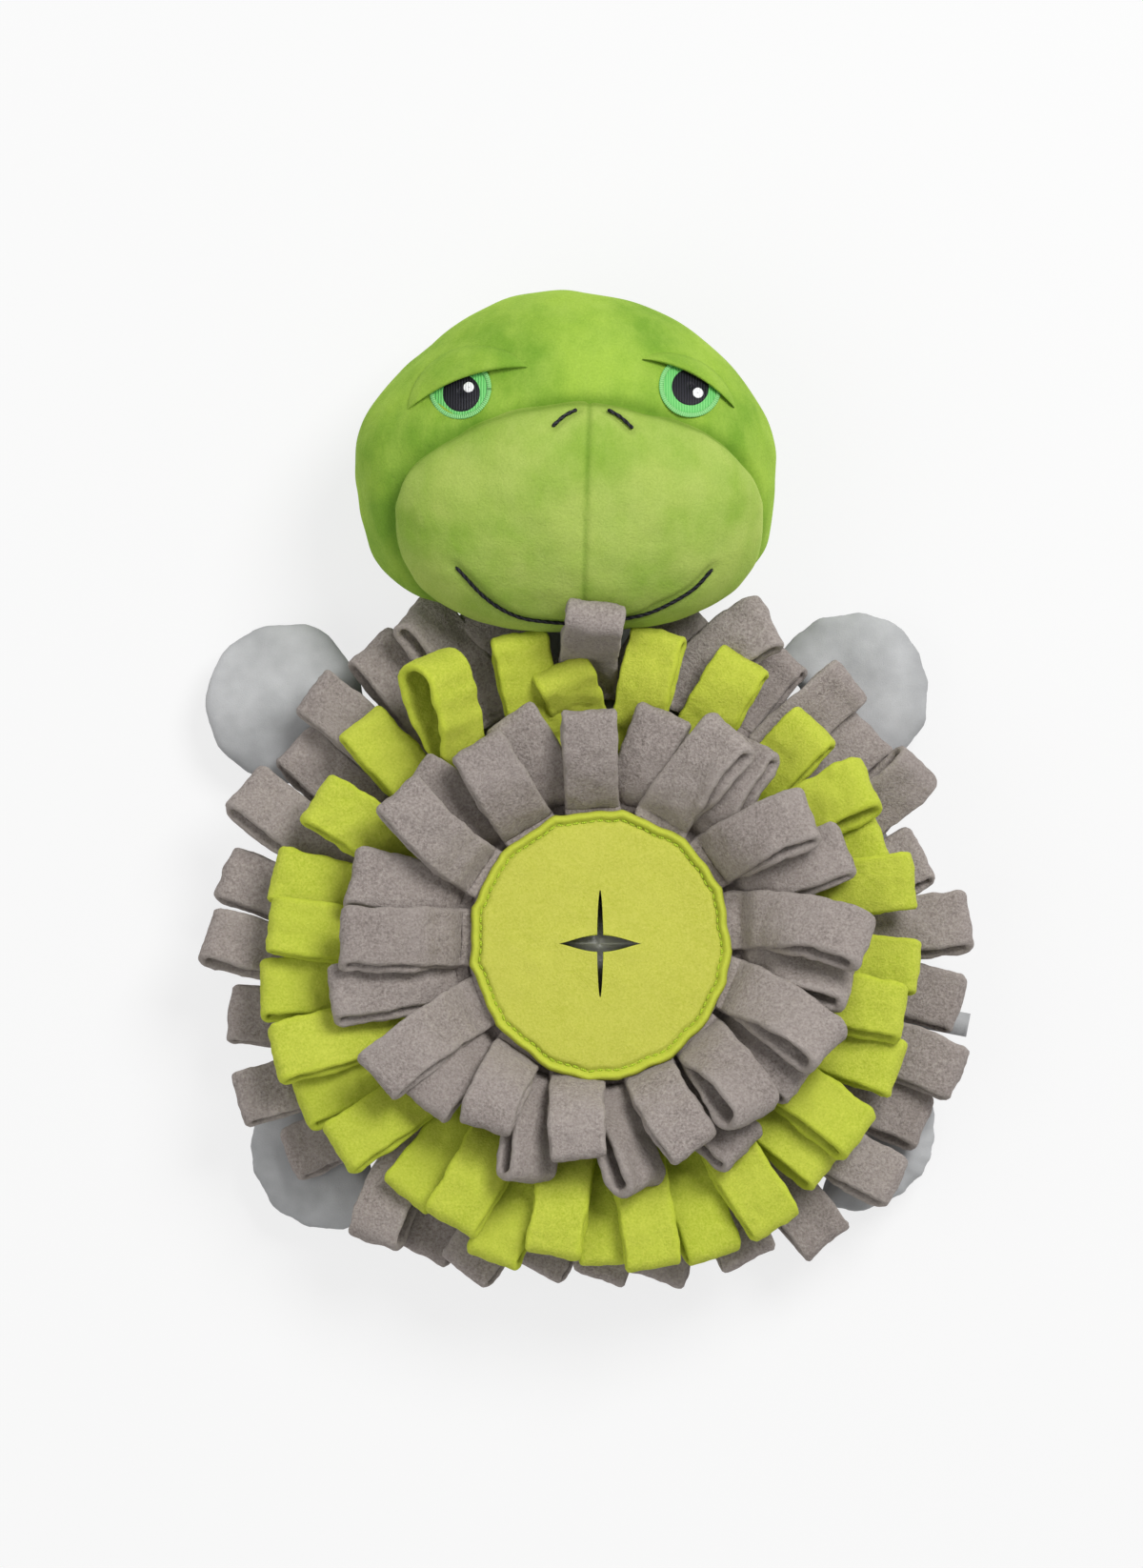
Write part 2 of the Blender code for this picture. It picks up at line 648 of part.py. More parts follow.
def head_ball(name, grow, cloth):
    """The head's round form, grown or shrunk, with a small flat where it lies."""
    centre = HEAD_HALF_DEPTH - HEAD_FLAT_DEPTH
    half = HEAD_HALF_DEPTH + grow
    rest = centre + min(grow, 0.0)
    outline = head_outline(grow)
    shares = [-rest / half, *HEAD_RING_SHARES]
    rings = [(level(0.0), level(centre - rest))]
    for share in shares:
        width = (1.0 - share * share) ** (HEAD_FULLNESS_SHARE / 2)
        rings.append((lambda angle, w=width: outline(angle) * w, level(centre + half * share)))
    rings.append((level(0.0), level(centre + half)))
    return stack_rings(name, rings, HEAD_SIDES, cloth, (HEAD_CENTRE_X, HEAD_CENTRE_Y))


def head_surface(x, y):
    """Height of the head's round form over a point in plan."""
    away = Vector((x - HEAD_CENTRE_X, y - HEAD_CENTRE_Y))
    share = away.length / head_outline(0.0)(math.atan2(away.y, away.x))
    rise = math.sqrt(max(1.0 - share ** (2 / HEAD_FULLNESS_SHARE), 0.0))
    return HEAD_HALF_DEPTH - HEAD_FLAT_DEPTH + HEAD_HALF_DEPTH * rise


def muzzle_outline(grow):
    return squared(MUZZLE_HALF_WIDTH + grow, MUZZLE_HALF_LENGTH + grow, MUZZLE_HALF_LENGTH + grow,
                   MUZZLE_TOP_SQUARENESS_SHARE, MUZZLE_CHIN_SQUARENESS_SHARE)


def face_x():
    return HEAD_CENTRE_X + FACE_SHIFT


def muzzle_ball(name, grow, cloth):
    """The muzzle's form, sloping up from the chin to the nose."""
    half = MUZZLE_HALF_DEPTH + grow
    outline = muzzle_outline(grow)

    def ring(share):
        width = (1.0 - share * share) ** (MUZZLE_FULLNESS_SHARE / 2)

        def radius_at(angle):
            return outline(angle) * width

        def height_at(angle):
            slope = MUZZLE_SLOPE_SHARE * radius_at(angle) * math.sin(angle)
            return MUZZLE_HEIGHT + half * share + slope
        return radius_at, height_at

    rings = [(level(0.0), level(MUZZLE_HEIGHT - half))]
    rings += [ring(share) for share in MUZZLE_RING_SHARES]
    rings.append((level(0.0), level(MUZZLE_HEIGHT + half)))
    return stack_rings(name, rings, MUZZLE_SIDES, cloth, (face_x(), MUZZLE_CENTRE_Y))


def muzzle_point(side_share, length_share, lift):
    """A point over the muzzle, from shares of its half width and half length."""
    x = side_share * MUZZLE_HALF_WIDTH
    y = length_share * MUZZLE_HALF_LENGTH
    reach = muzzle_outline(0.0)(math.atan2(y, x))
    share = min(math.hypot(x, y) / reach, 1.0)
    rise = math.sqrt(max(1.0 - share ** (2 / MUZZLE_FULLNESS_SHARE), 0.0))
    outward = Vector((x / MUZZLE_HALF_WIDTH ** 2, y / MUZZLE_HALF_LENGTH ** 2,
                      rise / MUZZLE_HALF_DEPTH)).normalized()
    z = MUZZLE_HEIGHT + MUZZLE_HALF_DEPTH * rise + MUZZLE_SLOPE_SHARE * y
    return Vector((face_x() + x, MUZZLE_CENTRE_Y + y, z)) + outward * lift


def neck_notch(name):
    """Room for the neck in the underside of the head."""
    radius = NECK_HALF_WIDTH + GAP
    start = MUZZLE_CENTRE_Y - MUZZLE_HALF_LENGTH - CUT_OVERRUN
    return tube_along_y(name, radius, radius, HEAD_CENTRE_X, NECK_HEIGHT,
                        start, NECK_END_Y + GAP, NECK_SIDES, FILLING)


def half_space(name, low, high):
    """A box cutter between two corners."""
    outline = ((low[0], low[1]), (high[0], low[1]), (high[0], high[1]), (low[0], high[1]))
    return prism(name, outline, low[2], high[2], FILLING)


def make_head():
    far = HEAD_HALF_WIDTH + HEAD_CENTRE_Y + HEAD_HALF_DEPTH
    seam = HEAD_HALF_DEPTH * (1.0 + HEAD_SEAM_SHARE)

    back = head_ball("head_back", 0.0, CROWN_GREEN)
    cut(back, head_ball("head_hollow", -CLOTH, FILLING))
    cut(back, half_space("seam_cutter", (-far, -far, seam), (far, far, far)))
    cut(back, muzzle_ball("muzzle_cutter", GAP, FILLING))
    cut(back, neck_notch("neck_cutter"))

    crown = head_ball("head_crown", 0.0, CROWN_GREEN)
    cut(crown, head_ball("head_hollow", -CLOTH, FILLING))
    cut(crown, half_space("seam_cutter", (-far, -far, -far), (far, far, seam + GAP)))
    cut(crown, muzzle_ball("muzzle_cutter", GAP, FILLING))

    filling = head_ball("head_filling", -CLOTH - GAP, FILLING)
    combine(filling, muzzle_ball("muzzle_filling", -CLOTH - GAP, FILLING), "UNION")
    cut(filling, neck_notch("neck_cutter"))

    for name, side in (("muzzle_left", 1), ("muzzle_right", -1)):
        panel = muzzle_ball(name, 0.0, MUZZLE_GREEN)
        cut(panel, muzzle_ball("muzzle_hollow", -CLOTH, FILLING))
        cut(panel, head_ball("head_cutter", 0.0, FILLING))
        edge = face_x() - side * GAP / 2
        low = (min(edge, side * far), -far, -far)
        high = (max(edge, side * far), far, far)
        cut(panel, half_space("half_cutter", low, high))
        cut(panel, neck_notch("neck_cutter"))


def eye_patch(name, outer, inner, cloth):
    """A thin embroidered patch that follows the head, between two outlines."""
    top = HEAD_HALF_DEPTH * 2 + CUT_OVERRUN
    patch = head_ball(name, GAP + PATCH, cloth)
    keep_inside(patch, prism("patch_outline", outer, HEAD_HALF_DEPTH, top, cloth))
    cut(patch, head_ball("patch_under", GAP, cloth))
    if inner:
        cut(patch, prism("patch_hole", inner, 0.0, top, cloth))
    return patch


def make_eye(side_name, side):
    middle = (face_x() + side * EYE_SPACING, EYE_CENTRE_Y)
    glint = (middle[0] + EYE_GLINT_SHIFT, middle[1])
    rounds = (("rim", middle, EYE_RIM_RADIUS, middle, EYE_IRIS_RADIUS, MINT_THREAD),
              ("iris", middle, EYE_IRIS_RADIUS, middle, EYE_PUPIL_RADIUS, IRIS_THREAD),
              ("pupil", middle, EYE_PUPIL_RADIUS, glint, EYE_GLINT_RADIUS, BLACK_THREAD),
              ("glint", glint, EYE_GLINT_RADIUS, None, None, WHITE_THREAD))
    for title, outer_middle, outer, inner_middle, inner, cloth in rounds:
        sides = GLINT_SIDES if title == "glint" else EYE_SIDES
        outline = ellipse(outer_middle, outer - GAP / 2, outer - GAP / 2, sides)
        hole = None
        if inner:
            sides = GLINT_SIDES if title == "pupil" else EYE_SIDES
            hole = ellipse(inner_middle, inner + GAP / 2, inner + GAP / 2, sides)
        eye_patch("eye_" + title + "_" + side_name, outline, hole, cloth)


def make_eyelid(side_name, side):
    """A puffed fold of cloth over the upper half of an eye, laid on the head."""
    middle_x = face_x() + side * EYE_SPACING
    outline = squared(LID_HALF_LENGTH, LID_HALF_WIDTH, LID_HALF_WIDTH, 2.0, 2.0)
    rings = [(level(0.0), level(-LID_PUFF))]
    for share in LID_RING_SHARES:
        width = math.sqrt(1.0 - share * share)
        rings.append((lambda angle, w=width: outline(angle) * w, level(LID_PUFF * share)))
    rings.append((level(0.0), level(LID_PUFF)))
    lid = stack_rings("eyelid_" + side_name, rings, LID_SIDES, CROWN_GREEN)
    lower = (-LID_HALF_LENGTH - CUT_OVERRUN, -LID_HALF_WIDTH - CUT_OVERRUN, -LID_PUFF - CUT_OVERRUN)
    upper = (LID_HALF_LENGTH + CUT_OVERRUN, 0.0, LID_PUFF + CUT_OVERRUN)
    cut(lid, half_space("lid_cutter", lower, upper))
    lean = Matrix.Rotation(math.radians(-side * LID_TILT_DEGREES), 4, "Z")
    lid.data.transform(Matrix.Translation((middle_x, LID_CENTRE_Y, 0.0)) @ lean)
    for point in lid.data.vertices:
        point.co.z += head_surface(point.co.x, point.co.y)
    cut(lid, head_ball("lid_under", GAP + PATCH + GAP, CROWN_GREEN))


def make_face():
    lift = THREAD_RADIUS + GAP
    for side_name, side in (("left", -1), ("right", 1)):
        make_eye(side_name, side)
        make_eyelid(side_name, side)
        points = [muzzle_point(side * x, y, lift) for x, y in NOSTRIL_SHARES]
        thread("nostril_stitch_" + side_name, points, BLACK_THREAD)
    thread("mouth_stitch", [muzzle_point(x, y, lift) for x, y in MOUTH_SHARES], BLACK_THREAD)


def make_neck():
    """The short stuffed sleeve between the body's edge and the head."""
    start = PILLOW_RADIUS / 2
    neck = tube_along_y("neck", NECK_HALF_WIDTH, NECK_HALF_DEPTH, HEAD_CENTRE_X, NECK_HEIGHT,
                        start, NECK_END_Y, NECK_SIDES, PALE_CLOTH)
    cut(neck, body_room("neck_body_cutter"))


def body_room(name):
    """The body's outside with a gap all round, to fit other pieces against."""
    rim = PILLOW_RADIUS + GAP
    seam = PILLOW_SEAM_HEIGHT
    below = [(radius + GAP, height) for radius, height in bilge_profile(0.0)]
    above = [(radius, height + GAP) for radius, height in crown_profile(0.0, 0.0)]
    profile = [(0.0, -CUT_OVERRUN), (PILLOW_FOOT_RADIUS + GAP, -CUT_OVERRUN), *below]
    profile += [(rim, seam), (rim, seam + GAP)]
    profile += [(radius + GAP, height) for radius, height in above]
    return turned(name, profile[:-1] + [(0.0, above[-1][1])], PILLOW_SIDES, FILLING)


# Flippers

def side_radius(height):
    """Radius of the body's side at a height under its seam."""
    profile = [*bilge_profile(0.0), (PILLOW_RADIUS, PILLOW_SEAM_HEIGHT)]
    for (inner, low), (outer, high) in zip(profile, profile[1:]):
        if height <= high:
            return inner + (outer - inner) * (height - low) / (high - low)
    return PILLOW_RADIUS


def flipper_hinge():
    """Distance of a flipper's hinge: its round root just clears the body's side."""
    return side_radius(FLIPPER_HEIGHT) + GAP + FLIPPER_ROOT_RADIUS


def strip_outline(start, end, half_width):
    """Plan corners of a straight strip."""
    along = (end - start).normalized()
    across = Vector((-along.y, along.x)) * half_width
    return [start - across, end - across, end + across, start + across]


def flipper_outline(distance, grow):
    """Paddle outline about its hinge: round, and narrow where it meets the body.

    Behind the hinge it stays inside the room that its swing leaves at the body.
    """
    root = FLIPPER_ROOT_RADIUS + grow
    paddle = FLIPPER_RADIUS + grow
    hinge = flipper_hinge()
    offset = distance - hinge
    swing = math.radians(FLIPPER_SWING_DEGREES)

    def radius_at(angle):
        away = abs((angle + math.pi) % math.tau - math.pi)
        across = paddle * paddle - (offset * math.sin(away)) ** 2
        radius = offset * math.cos(away) + math.sqrt(max(across, 0.0))
        worst = min(away + swing, math.pi)
        lead = -hinge * math.cos(worst)
        kept = hinge - FLIPPER_ROOT_RADIUS - grow
        room = lead * lead - hinge * hinge + kept * kept
        if lead > 0.0 and room > 0.0:
            radius = min(radius, lead - math.sqrt(room))
        return max(radius, root)
    return radius_at


def flipper_form(name, bearing, distance, grow, cloth):
    """The stuffed paddle, grown or shrunk, in its place."""
    outline = flipper_outline(distance, grow)
    half = FLIPPER_HALF_DEPTH + grow
    rings = [(level(0.0), level(FLIPPER_HEIGHT - half))]
    for share in (*FLIPPER_RING_SHARES, *reversed(FLIPPER_RING_SHARES)):
        side = -1.0 if len(rings) <= len(FLIPPER_RING_SHARES) else 1.0
        height = FLIPPER_HEIGHT + side * half * math.sqrt(1.0 - share * share)
        radius_at = (lambda angle, s=share: outline(angle - bearing) * s)
        if share == FLIPPER_RING_SHARES[-1] and side > 0.0:
            rings.append((lambda angle: outline(angle - bearing), level(FLIPPER_HEIGHT)))
        rings.append((radius_at, level(height)))
    rings.append((level(0.0), level(FLIPPER_HEIGHT + half)))
    hinge = flipper_hinge()
    middle = (hinge * math.cos(bearing), hinge * math.sin(bearing))
    return stack_rings(name, rings, FLIPPER_SIDES, cloth, middle, bearing)


def make_flipper(side_name, bearing_degrees, distance):
    bearing = math.radians(bearing_degrees)
    ray = Vector((math.cos(bearing), math.sin(bearing)))
    pivot = Vector((*(ray * flipper_hinge()), FLIPPER_HEIGHT))

    skin = flipper_form("flipper_skin_" + side_name, bearing, distance, 0.0, PALE_CLOTH)
    cut(skin, flipper_form("flipper_hollow", bearing, distance, -FLIPPER_CLOTH, FILLING))
    root = ray * (flipper_hinge() - FLIPPER_ROOT_RADIUS)
    start = root - ray * CUT_OVERRUN
    opening = strip_outline(start, root + ray * CUT_OVERRUN, FLIPPER_ROOT_RADIUS / 2)
    low = FLIPPER_HEIGHT - FLIPPER_OPENING_HALF_DEPTH
    high = FLIPPER_HEIGHT + FLIPPER_OPENING_HALF_DEPTH
    cut(skin, prism("opening_cutter", opening, low, high, FILLING))
    move_origin(skin, pivot)

    shrink = -FLIPPER_CLOTH - GAP
    filling = flipper_form("flipper_filling_" + side_name, bearing, distance, shrink, FILLING)
    move_origin(filling, pivot)


def make_label():
    """A blank cloth tab sewn into the side seam."""
    angle = math.radians(LABEL_BEARING_DEGREES)
    ray = Vector((math.cos(angle), math.sin(angle)))
    start = ray * (PILLOW_RADIUS + GAP)
    outline = strip_outline(start, start + ray * LABEL_LENGTH, LABEL_WIDTH / 2)
    low = PILLOW_SEAM_HEIGHT - LABEL_THICKNESS / 2
    prism("side_label", outline, low, low + LABEL_THICKNESS, PALE_CLOTH)


def main():
    stack = fringe_stack()
    inner_radius, inner_middle, inner_half = stack[0, "upper"][0]
    fringe_top = inner_middle + inner_half
    make_body()
    make_pocket(fringe_top)
    make_fringe(stack)
    make_cover(fringe_top + GAP)
    make_flaps(fringe_top + GAP)
    make_neck()
    make_head()
    make_face()
    for side_name, (bearing, distance_share) in FLIPPER_PLACE_SHARES.items():
        make_flipper(side_name, bearing, distance_share * PILLOW_RADIUS)
    make_label()


main()
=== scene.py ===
"""Looks of the plush turtle: fleece loops, felt cover, plush head and stuffed flippers.

Metres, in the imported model's own frame: the back lies on z = 0 and the head points to +Y.
"""
import json
import math

import bmesh
import bpy
import numpy as np
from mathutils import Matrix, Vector


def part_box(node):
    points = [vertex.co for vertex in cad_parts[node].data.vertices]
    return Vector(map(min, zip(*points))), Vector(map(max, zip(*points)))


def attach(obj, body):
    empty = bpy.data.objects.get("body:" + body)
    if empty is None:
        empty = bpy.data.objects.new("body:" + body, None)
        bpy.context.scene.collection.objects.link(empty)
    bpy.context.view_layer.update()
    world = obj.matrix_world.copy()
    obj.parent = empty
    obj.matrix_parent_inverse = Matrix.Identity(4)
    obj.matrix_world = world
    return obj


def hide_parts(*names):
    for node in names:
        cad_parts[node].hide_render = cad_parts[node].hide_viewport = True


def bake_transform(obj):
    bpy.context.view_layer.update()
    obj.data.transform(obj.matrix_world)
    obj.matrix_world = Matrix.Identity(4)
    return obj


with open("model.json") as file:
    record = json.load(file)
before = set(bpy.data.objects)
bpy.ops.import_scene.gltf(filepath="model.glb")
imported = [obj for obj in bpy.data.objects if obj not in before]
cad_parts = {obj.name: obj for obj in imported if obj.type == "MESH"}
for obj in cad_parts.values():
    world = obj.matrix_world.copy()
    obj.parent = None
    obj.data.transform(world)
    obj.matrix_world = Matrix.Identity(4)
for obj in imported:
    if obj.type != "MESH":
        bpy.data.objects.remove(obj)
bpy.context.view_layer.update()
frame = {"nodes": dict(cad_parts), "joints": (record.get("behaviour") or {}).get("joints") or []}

# Camera, straight over the toy, with the photograph's frame
VIEW_CENTRE = (-0.0086, 0.0479)
VIEW_HEIGHT = 0.472
VIEW_DISTANCE = 3.0
FOCUS_HEIGHT = 0.045
SENSOR = 36.0

# Fleece strips
STRIP_WIDTH = 0.017
FLEECE = 0.0027
FLEECE_EDGE = 0.0011
STEP = 0.0010
SEWN_HALF_GAP = 0.0011
UNDER_SHIFT = 0.0026
TUCK = 0.003

# Loops: sewn at, tip at (degrees), reach, roll (degrees), half gap at the fold (mm), lift (mm)
INNER_REACH = 0.078
MIDDLE_REACH = 0.098
OUTER_REACH = 0.113
INNER_UPPER = (
    (9.5, 1.0, 1.03, -30, 3.2, 1), (36.5, 32.5, 0.96, -22, 2.6, 0), (63.1, 58.5, 0.97, -24, 2.8, 0),
    (93.2, 92.8, 0.9, 0, 2.0, 2), (122.0, 121.8, 0.91, 4, 2.0, 2), (148.7, 143.7, 0.98, 3, 2.0, 1),
    (177.8, 177.9, 1.0, 5, 2.0, 0), (206.2, 210.1, 1.01, -4, 2.0, 0), (233.0, 237.0, 0.84, 3, 2.0, 1),
    (260.5, 263.9, 0.83, 0, 2.0, 1), (291.0, 294.9, 0.87, -8, 2.2, 2), (316.0, 312.9, 0.9, -34, 5.0, 3),
    (342.5, 336.0, 0.98, -30, 4.0, 2))
INNER_LOWER = (
    (22.0, 21.6, 1.02, -10, 2.0, 0), (50.0, 52.5, 0.98, -20, 2.5, 0), (77.0, 74.7, 0.93, -4, 2.0, 0),
    (107.0, 111.0, 0.95, 0, 2.0, 0), (135.0, 137.5, 0.97, 4, 2.0, -1), (163.0, 164.0, 1.0, 5, 2.0, 0),
    (191.0, 190.0, 1.06, 2, 2.0, 0), (219.0, 222.0, 0.93, 0, 2.0, 2), (247.0, 252.0, 0.96, -42, 3.5, 0),
    (275.0, 279.2, 0.96, -45, 3.5, 0), (301.0, 304.5, 0.98, -15, 2.4, 0), (327.0, 326.0, 0.95, -10, 2.4, 0),
    (354.0, 351.4, 0.98, -38, 3.0, 0))
MIDDLE_UPPER = (
    (13.0, 12.0, 0.985, 6, 2.6, 0), (33.0, 31.5, 0.97, -14, 3.4, 0), (80.5, 79.5, 0.98, -10, 2.6, 2),
    (106.0, 104.9, 0.985, 2, 3.2, 2), (127.0, 121.5, 1.03, 40, 6.8, 9), (154.0, 152.5, 0.985, 2, 2.2, 0),
    (178.0, 176.7, 1.02, 5, 2.2, 0), (200.5, 198.7, 1.06, 12, 2.4, 0), (219.5, 217.8, 1.03, 0, 2.2, 0),
    (242.0, 241.4, 0.98, 0, 2.2, 0), (261.5, 261.3, 0.97, 0, 2.2, 0), (280.0, 279.6, 1.01, 0, 2.2, 0),
    (302.0, 302.3, 1.03, 4, 2.4, 0), (324.0, 323.5, 1.0, -14, 3.0, 0), (347.0, 347.5, 0.96, 0, 2.2, 0))
MIDDLE_LOWER = (
    (22.5, 22.0, 0.93, -6, 2.4, 0), (45.5, 45.5, 0.95, -6, 2.2, 0), (64.5, 63.3, 0.985, -4, 2.6, 2),
    (95.0, 97.5, 0.87, 0, 3.4, 11), (139.0, 137.3, 1.01, 0, 2.2, 1), (168.0, 167.8, 1.03, 6, 2.2, 0),
    (189.5, 187.5, 1.055, 4, 2.2, 0), (209.5, 208.0, 1.05, 6, 2.2, 0), (232.5, 232.0, 0.99, 0, 2.2, 0),
    (251.5, 251.2, 1.035, 8, 2.2, 0), (271.0, 271.2, 0.99, 0, 2.2, 0), (290.5, 290.2, 1.03, -6, 2.6, 0),
    (314.0, 315.5, 0.99, -12, 2.6, 0), (336.0, 337.0, 1.0, -8, 2.2, 0), (356.5, 356.0, 0.985, -4, 2.2, 0))
OUTER_UPPER = (
    (3.0, 3.7, 0.993, -14, 3.0, 0), (25.5, 29.0, 0.984, 26, 4.0, 2), (48.0, 47.0, 0.98, 22, 3.0, 1),
    (70.5, 63.5, 0.985, -14, 3.0, 10), (93.0, 91.0, 0.90, 8, 3.8, 44), (115.5, 119.0, 1.03, 30, 3.0, 8),
    (138.0, 138.5, 1.03, 0, 2.2, 0), (160.5, 156.5, 1.045, 14, 2.6, 0), (183.0, 179.3, 1.056, 20, 3.4, 0),
    (205.5, 203.5, 1.056, 0, 2.2, 0), (228.0, 232.0, 1.01, 10, 4.5, 2), (250.5, 247.5, 0.956, 0, 2.2, 0),
    (273.0, 270.0, 0.9, 0, 2.2, 0), (295.5, 295.5, 0.943, 0, 2.2, 0), (318.0, 321.0, 1.03, -6, 2.4, 0),
    (340.5, 340.0, 1.03, -4, 2.2, 0))
OUTER_LOWER = (
    (14.0, 15.5, 0.9, 0, 2.2, 0), (37.0, 38.0, 0.93, 8, 2.2, 0), (59.5, 58.0, 0.93, 4, 2.2, 0),
    (82.0, 75.5, 0.945, -8, 2.6, 7), (104.0, 110.0, 0.975, 12, 2.8, 7), (127.0, 127.5, 1.01, 10, 2.6, 5),
    (149.5, 147.0, 0.98, 0, 2.2, 0), (172.0, 169.5, 1.03, 6, 2.4, 0), (194.5, 191.0, 1.014, 0, 2.2, 0),
    (217.0, 214.5, 1.014, 0, 2.2, 0), (239.5, 240.0, 0.97, 0, 2.4, 0), (262.0, 259.5, 0.9, 0, 2.2, 0),
    (284.5, 280.0, 0.92, 0, 2.2, 0), (307.0, 307.5, 1.016, 0, 2.4, 0), (329.5, 331.0, 1.0, -4, 2.4, 0),
    (352.0, 350.5, 0.985, -4, 2.2, 0))
BAND_WIDTH = 0.005
BAND_INSET = 0.0022
TIP_HALF = 0.0031

# Rows: radius of the band, reach, loops, and 1 where the loops rise from the band or -1 where they fall
BANDS = {
    "inner_lower": (0.0434, INNER_REACH, INNER_LOWER, 1),
    "inner_upper": (0.0418, INNER_REACH, INNER_UPPER, 1),
    "middle_lower": (0.064, MIDDLE_REACH, MIDDLE_LOWER, 1),
    "middle_upper": (0.0624, MIDDLE_REACH, MIDDLE_UPPER, 1),
    "outer_lower": (0.080, OUTER_REACH, OUTER_LOWER, -1),
    "outer_upper": (0.0784, OUTER_REACH, OUTER_UPPER, -1),
}

# Felt cover
COVER_RADIUS = 0.0392
COVER_LENGTH = 1.035
COVER_THICKNESS = 0.0028
COVER_CORNERS = (-170.3, -142.0, -112.0, -94.8, -81.9, -58.0, -35.3, -16.8, -3.5, 24.4, 51.0, 80.7, 109.6,
                 138.0, 164.2, 189.7)
SLIT_HALF_WIDTH = 0.0126
SLIT_HALF_HEIGHT = 0.0164
SLIT_OPEN_HEIGHT = 0.0025
SLIT_OPEN_WIDTH = 0.0009
STITCH_INSET = 0.0031
STITCH_DEPTH = 0.0008
STITCH_COUNT = 96

# Pocket lining: sizes, then its mound under the slit as radius and depth below the top of the mound
POCKET_RADIUS = 0.0235
FLANGE_RADIUS = 0.0345
LINING_WALL = 0.0014
MOUND_DEPTH = 0.0052
RIDGE_DEPTH = 0.0014
MOUND = ((0.00001, 0.0), (0.002, 0.0003), (0.004, 0.0008), (0.006, 0.0019), (0.008, 0.0035),
         (0.010, 0.0057), (0.012, 0.0085), (0.016, 0.0155), (0.019, 0.0225))

# Head and muzzle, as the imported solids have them
HEAD_CENTRE = (-0.010, 0.146, 0.0395)
HEAD_HALF = (0.063, 0.051, 0.048, 0.040)
HEAD_POWERS = (1.75, 3.0)
HEAD_FULLNESS = 0.9
HEAD_SEAM = 0.0376
FACE_X = -0.0065
MUZZLE_CENTRE = (FACE_X, 0.1298, 0.060)
MUZZLE_HALF = (0.056, 0.0345, 0.0362, 0.027)
MUZZLE_POWERS = (1.8, 2.5)
MUZZLE_FULLNESS = 0.85
MUZZLE_SLOPE = 0.22
MUZZLE_SEAM = ((-0.0051, 0.098), (-0.0032, 0.162))
MOUTH = ((-0.0431, 0.1126), (-0.0343, 0.1034), (-0.0258, 0.0983), (-0.0172, 0.0965), (-0.0043, 0.0959),
         (0.0085, 0.0975), (0.0170, 0.0999), (0.0273, 0.1056), (0.0335, 0.1120))
NOSTRILS = {"left": ((-0.0142, 0.1542), (-0.0106, 0.1574), (-0.0068, 0.1594)),
            "right": ((0.0020, 0.1594), (0.0060, 0.1570), (0.0096, 0.1536))}

# Eyes: middle, pupil and glint in plan; lids: lower edge from the outer to the inner end, and its two arches
EYES = {"left": ((-0.0419, 0.1661), (-0.0415, 0.1646), (-0.0393, 0.1663)),
        "right": ((0.0269, 0.1667), (0.0269, 0.1665), (0.0292, 0.1648))}
EYE_RIM = 0.0094
EYE_IRIS = 0.0083
EYE_PUPIL = 0.0057
EYE_GLINT = 0.0016
FACE_THREAD = 0.0006
LIDS = {"left": ((-0.0575, 0.1600), (-0.0217, 0.1722), 0.0036, 0.0128),
        "right": ((0.0126, 0.1748), (0.0402, 0.1606), 0.0031, 0.0078)}

# Body, stage and lamps: place, size, power
BODY_FOOT = 0.076
BODY_CROWN = 0.028
BODY_HOLE = 0.0238
LABEL_HALF_WIDTH = 0.0036
LABEL_HALF_THICKNESS = 0.0003
FLOOR_HALF_SIZE = 6.0
FLOOR_HEIGHT = -0.0002
FLOOR_GLOW = 0.96
FLOOR_GLOW_SHARE = 0.8
SKY_STRENGTH = 0.36
LAMPS = {"key_lamp": ((0.75, 0.95, 1.6), 0.9, 31.0), "fill_lamp": ((-1.1, -0.3, 1.5), 1.6, 8.0)}
LAMP_TARGET = (0.0, 0.05, 0.0)


def ripple(points, wavelength, seed, waves=14):
    """Smooth random waves over points, the same each run."""
    rng = np.random.default_rng(seed)
    directions = unit(rng.normal(size=(waves, 3)))
    lengths = wavelength * rng.uniform(0.7, 1.4, waves)
    phases = rng.uniform(0.0, math.tau, waves)
    return np.sin(points @ (directions / lengths[:, None]).T * math.tau + phases).sum(1) / math.sqrt(waves)


def unit(rows):
    """Rows of directions at length one."""
    return rows / np.linalg.norm(rows, axis=1, keepdims=True)


def bell(away, width):
    return np.exp(-(away / width) ** 2)


def smooth(share):
    """Eases from 0 to 1."""
    share = np.clip(share, 0.0, 1.0)
    return share * share * (3.0 - 2.0 * share)


def ray(degrees):
    """Unit direction in plan."""
    return np.array((math.cos(math.radians(degrees)), math.sin(math.radians(degrees))))


def circle(count):
    """Equal turns once round, in radians."""
    return np.linspace(0.0, math.tau, count, endpoint=False)


def pivot_of(body):
    """Where the joint of a body lies."""
    return next(j["pos_m"] for j in frame["joints"] if j["child"] == body)


def add_object(name, data):
    item = bpy.data.objects.new(name, data)
    bpy.context.scene.collection.objects.link(item)
    return item


def tube_faces(stations, ring, closed=False):
    """Quads of a grid of stations by ring points; the ring always closes."""
    index = np.arange(stations * ring).reshape(stations, ring)
    here, there = (index, np.roll(index, -1, 0)) if closed else (index[:-1], index[1:])
    quads = np.stack((here, np.roll(here, -1, 1), np.roll(there, -1, 1), there), -1).reshape(-1, 4)
    faces = quads.tolist()
    if not closed:
        faces += [index[0].tolist()[::-1], index[-1].tolist()]
    return faces


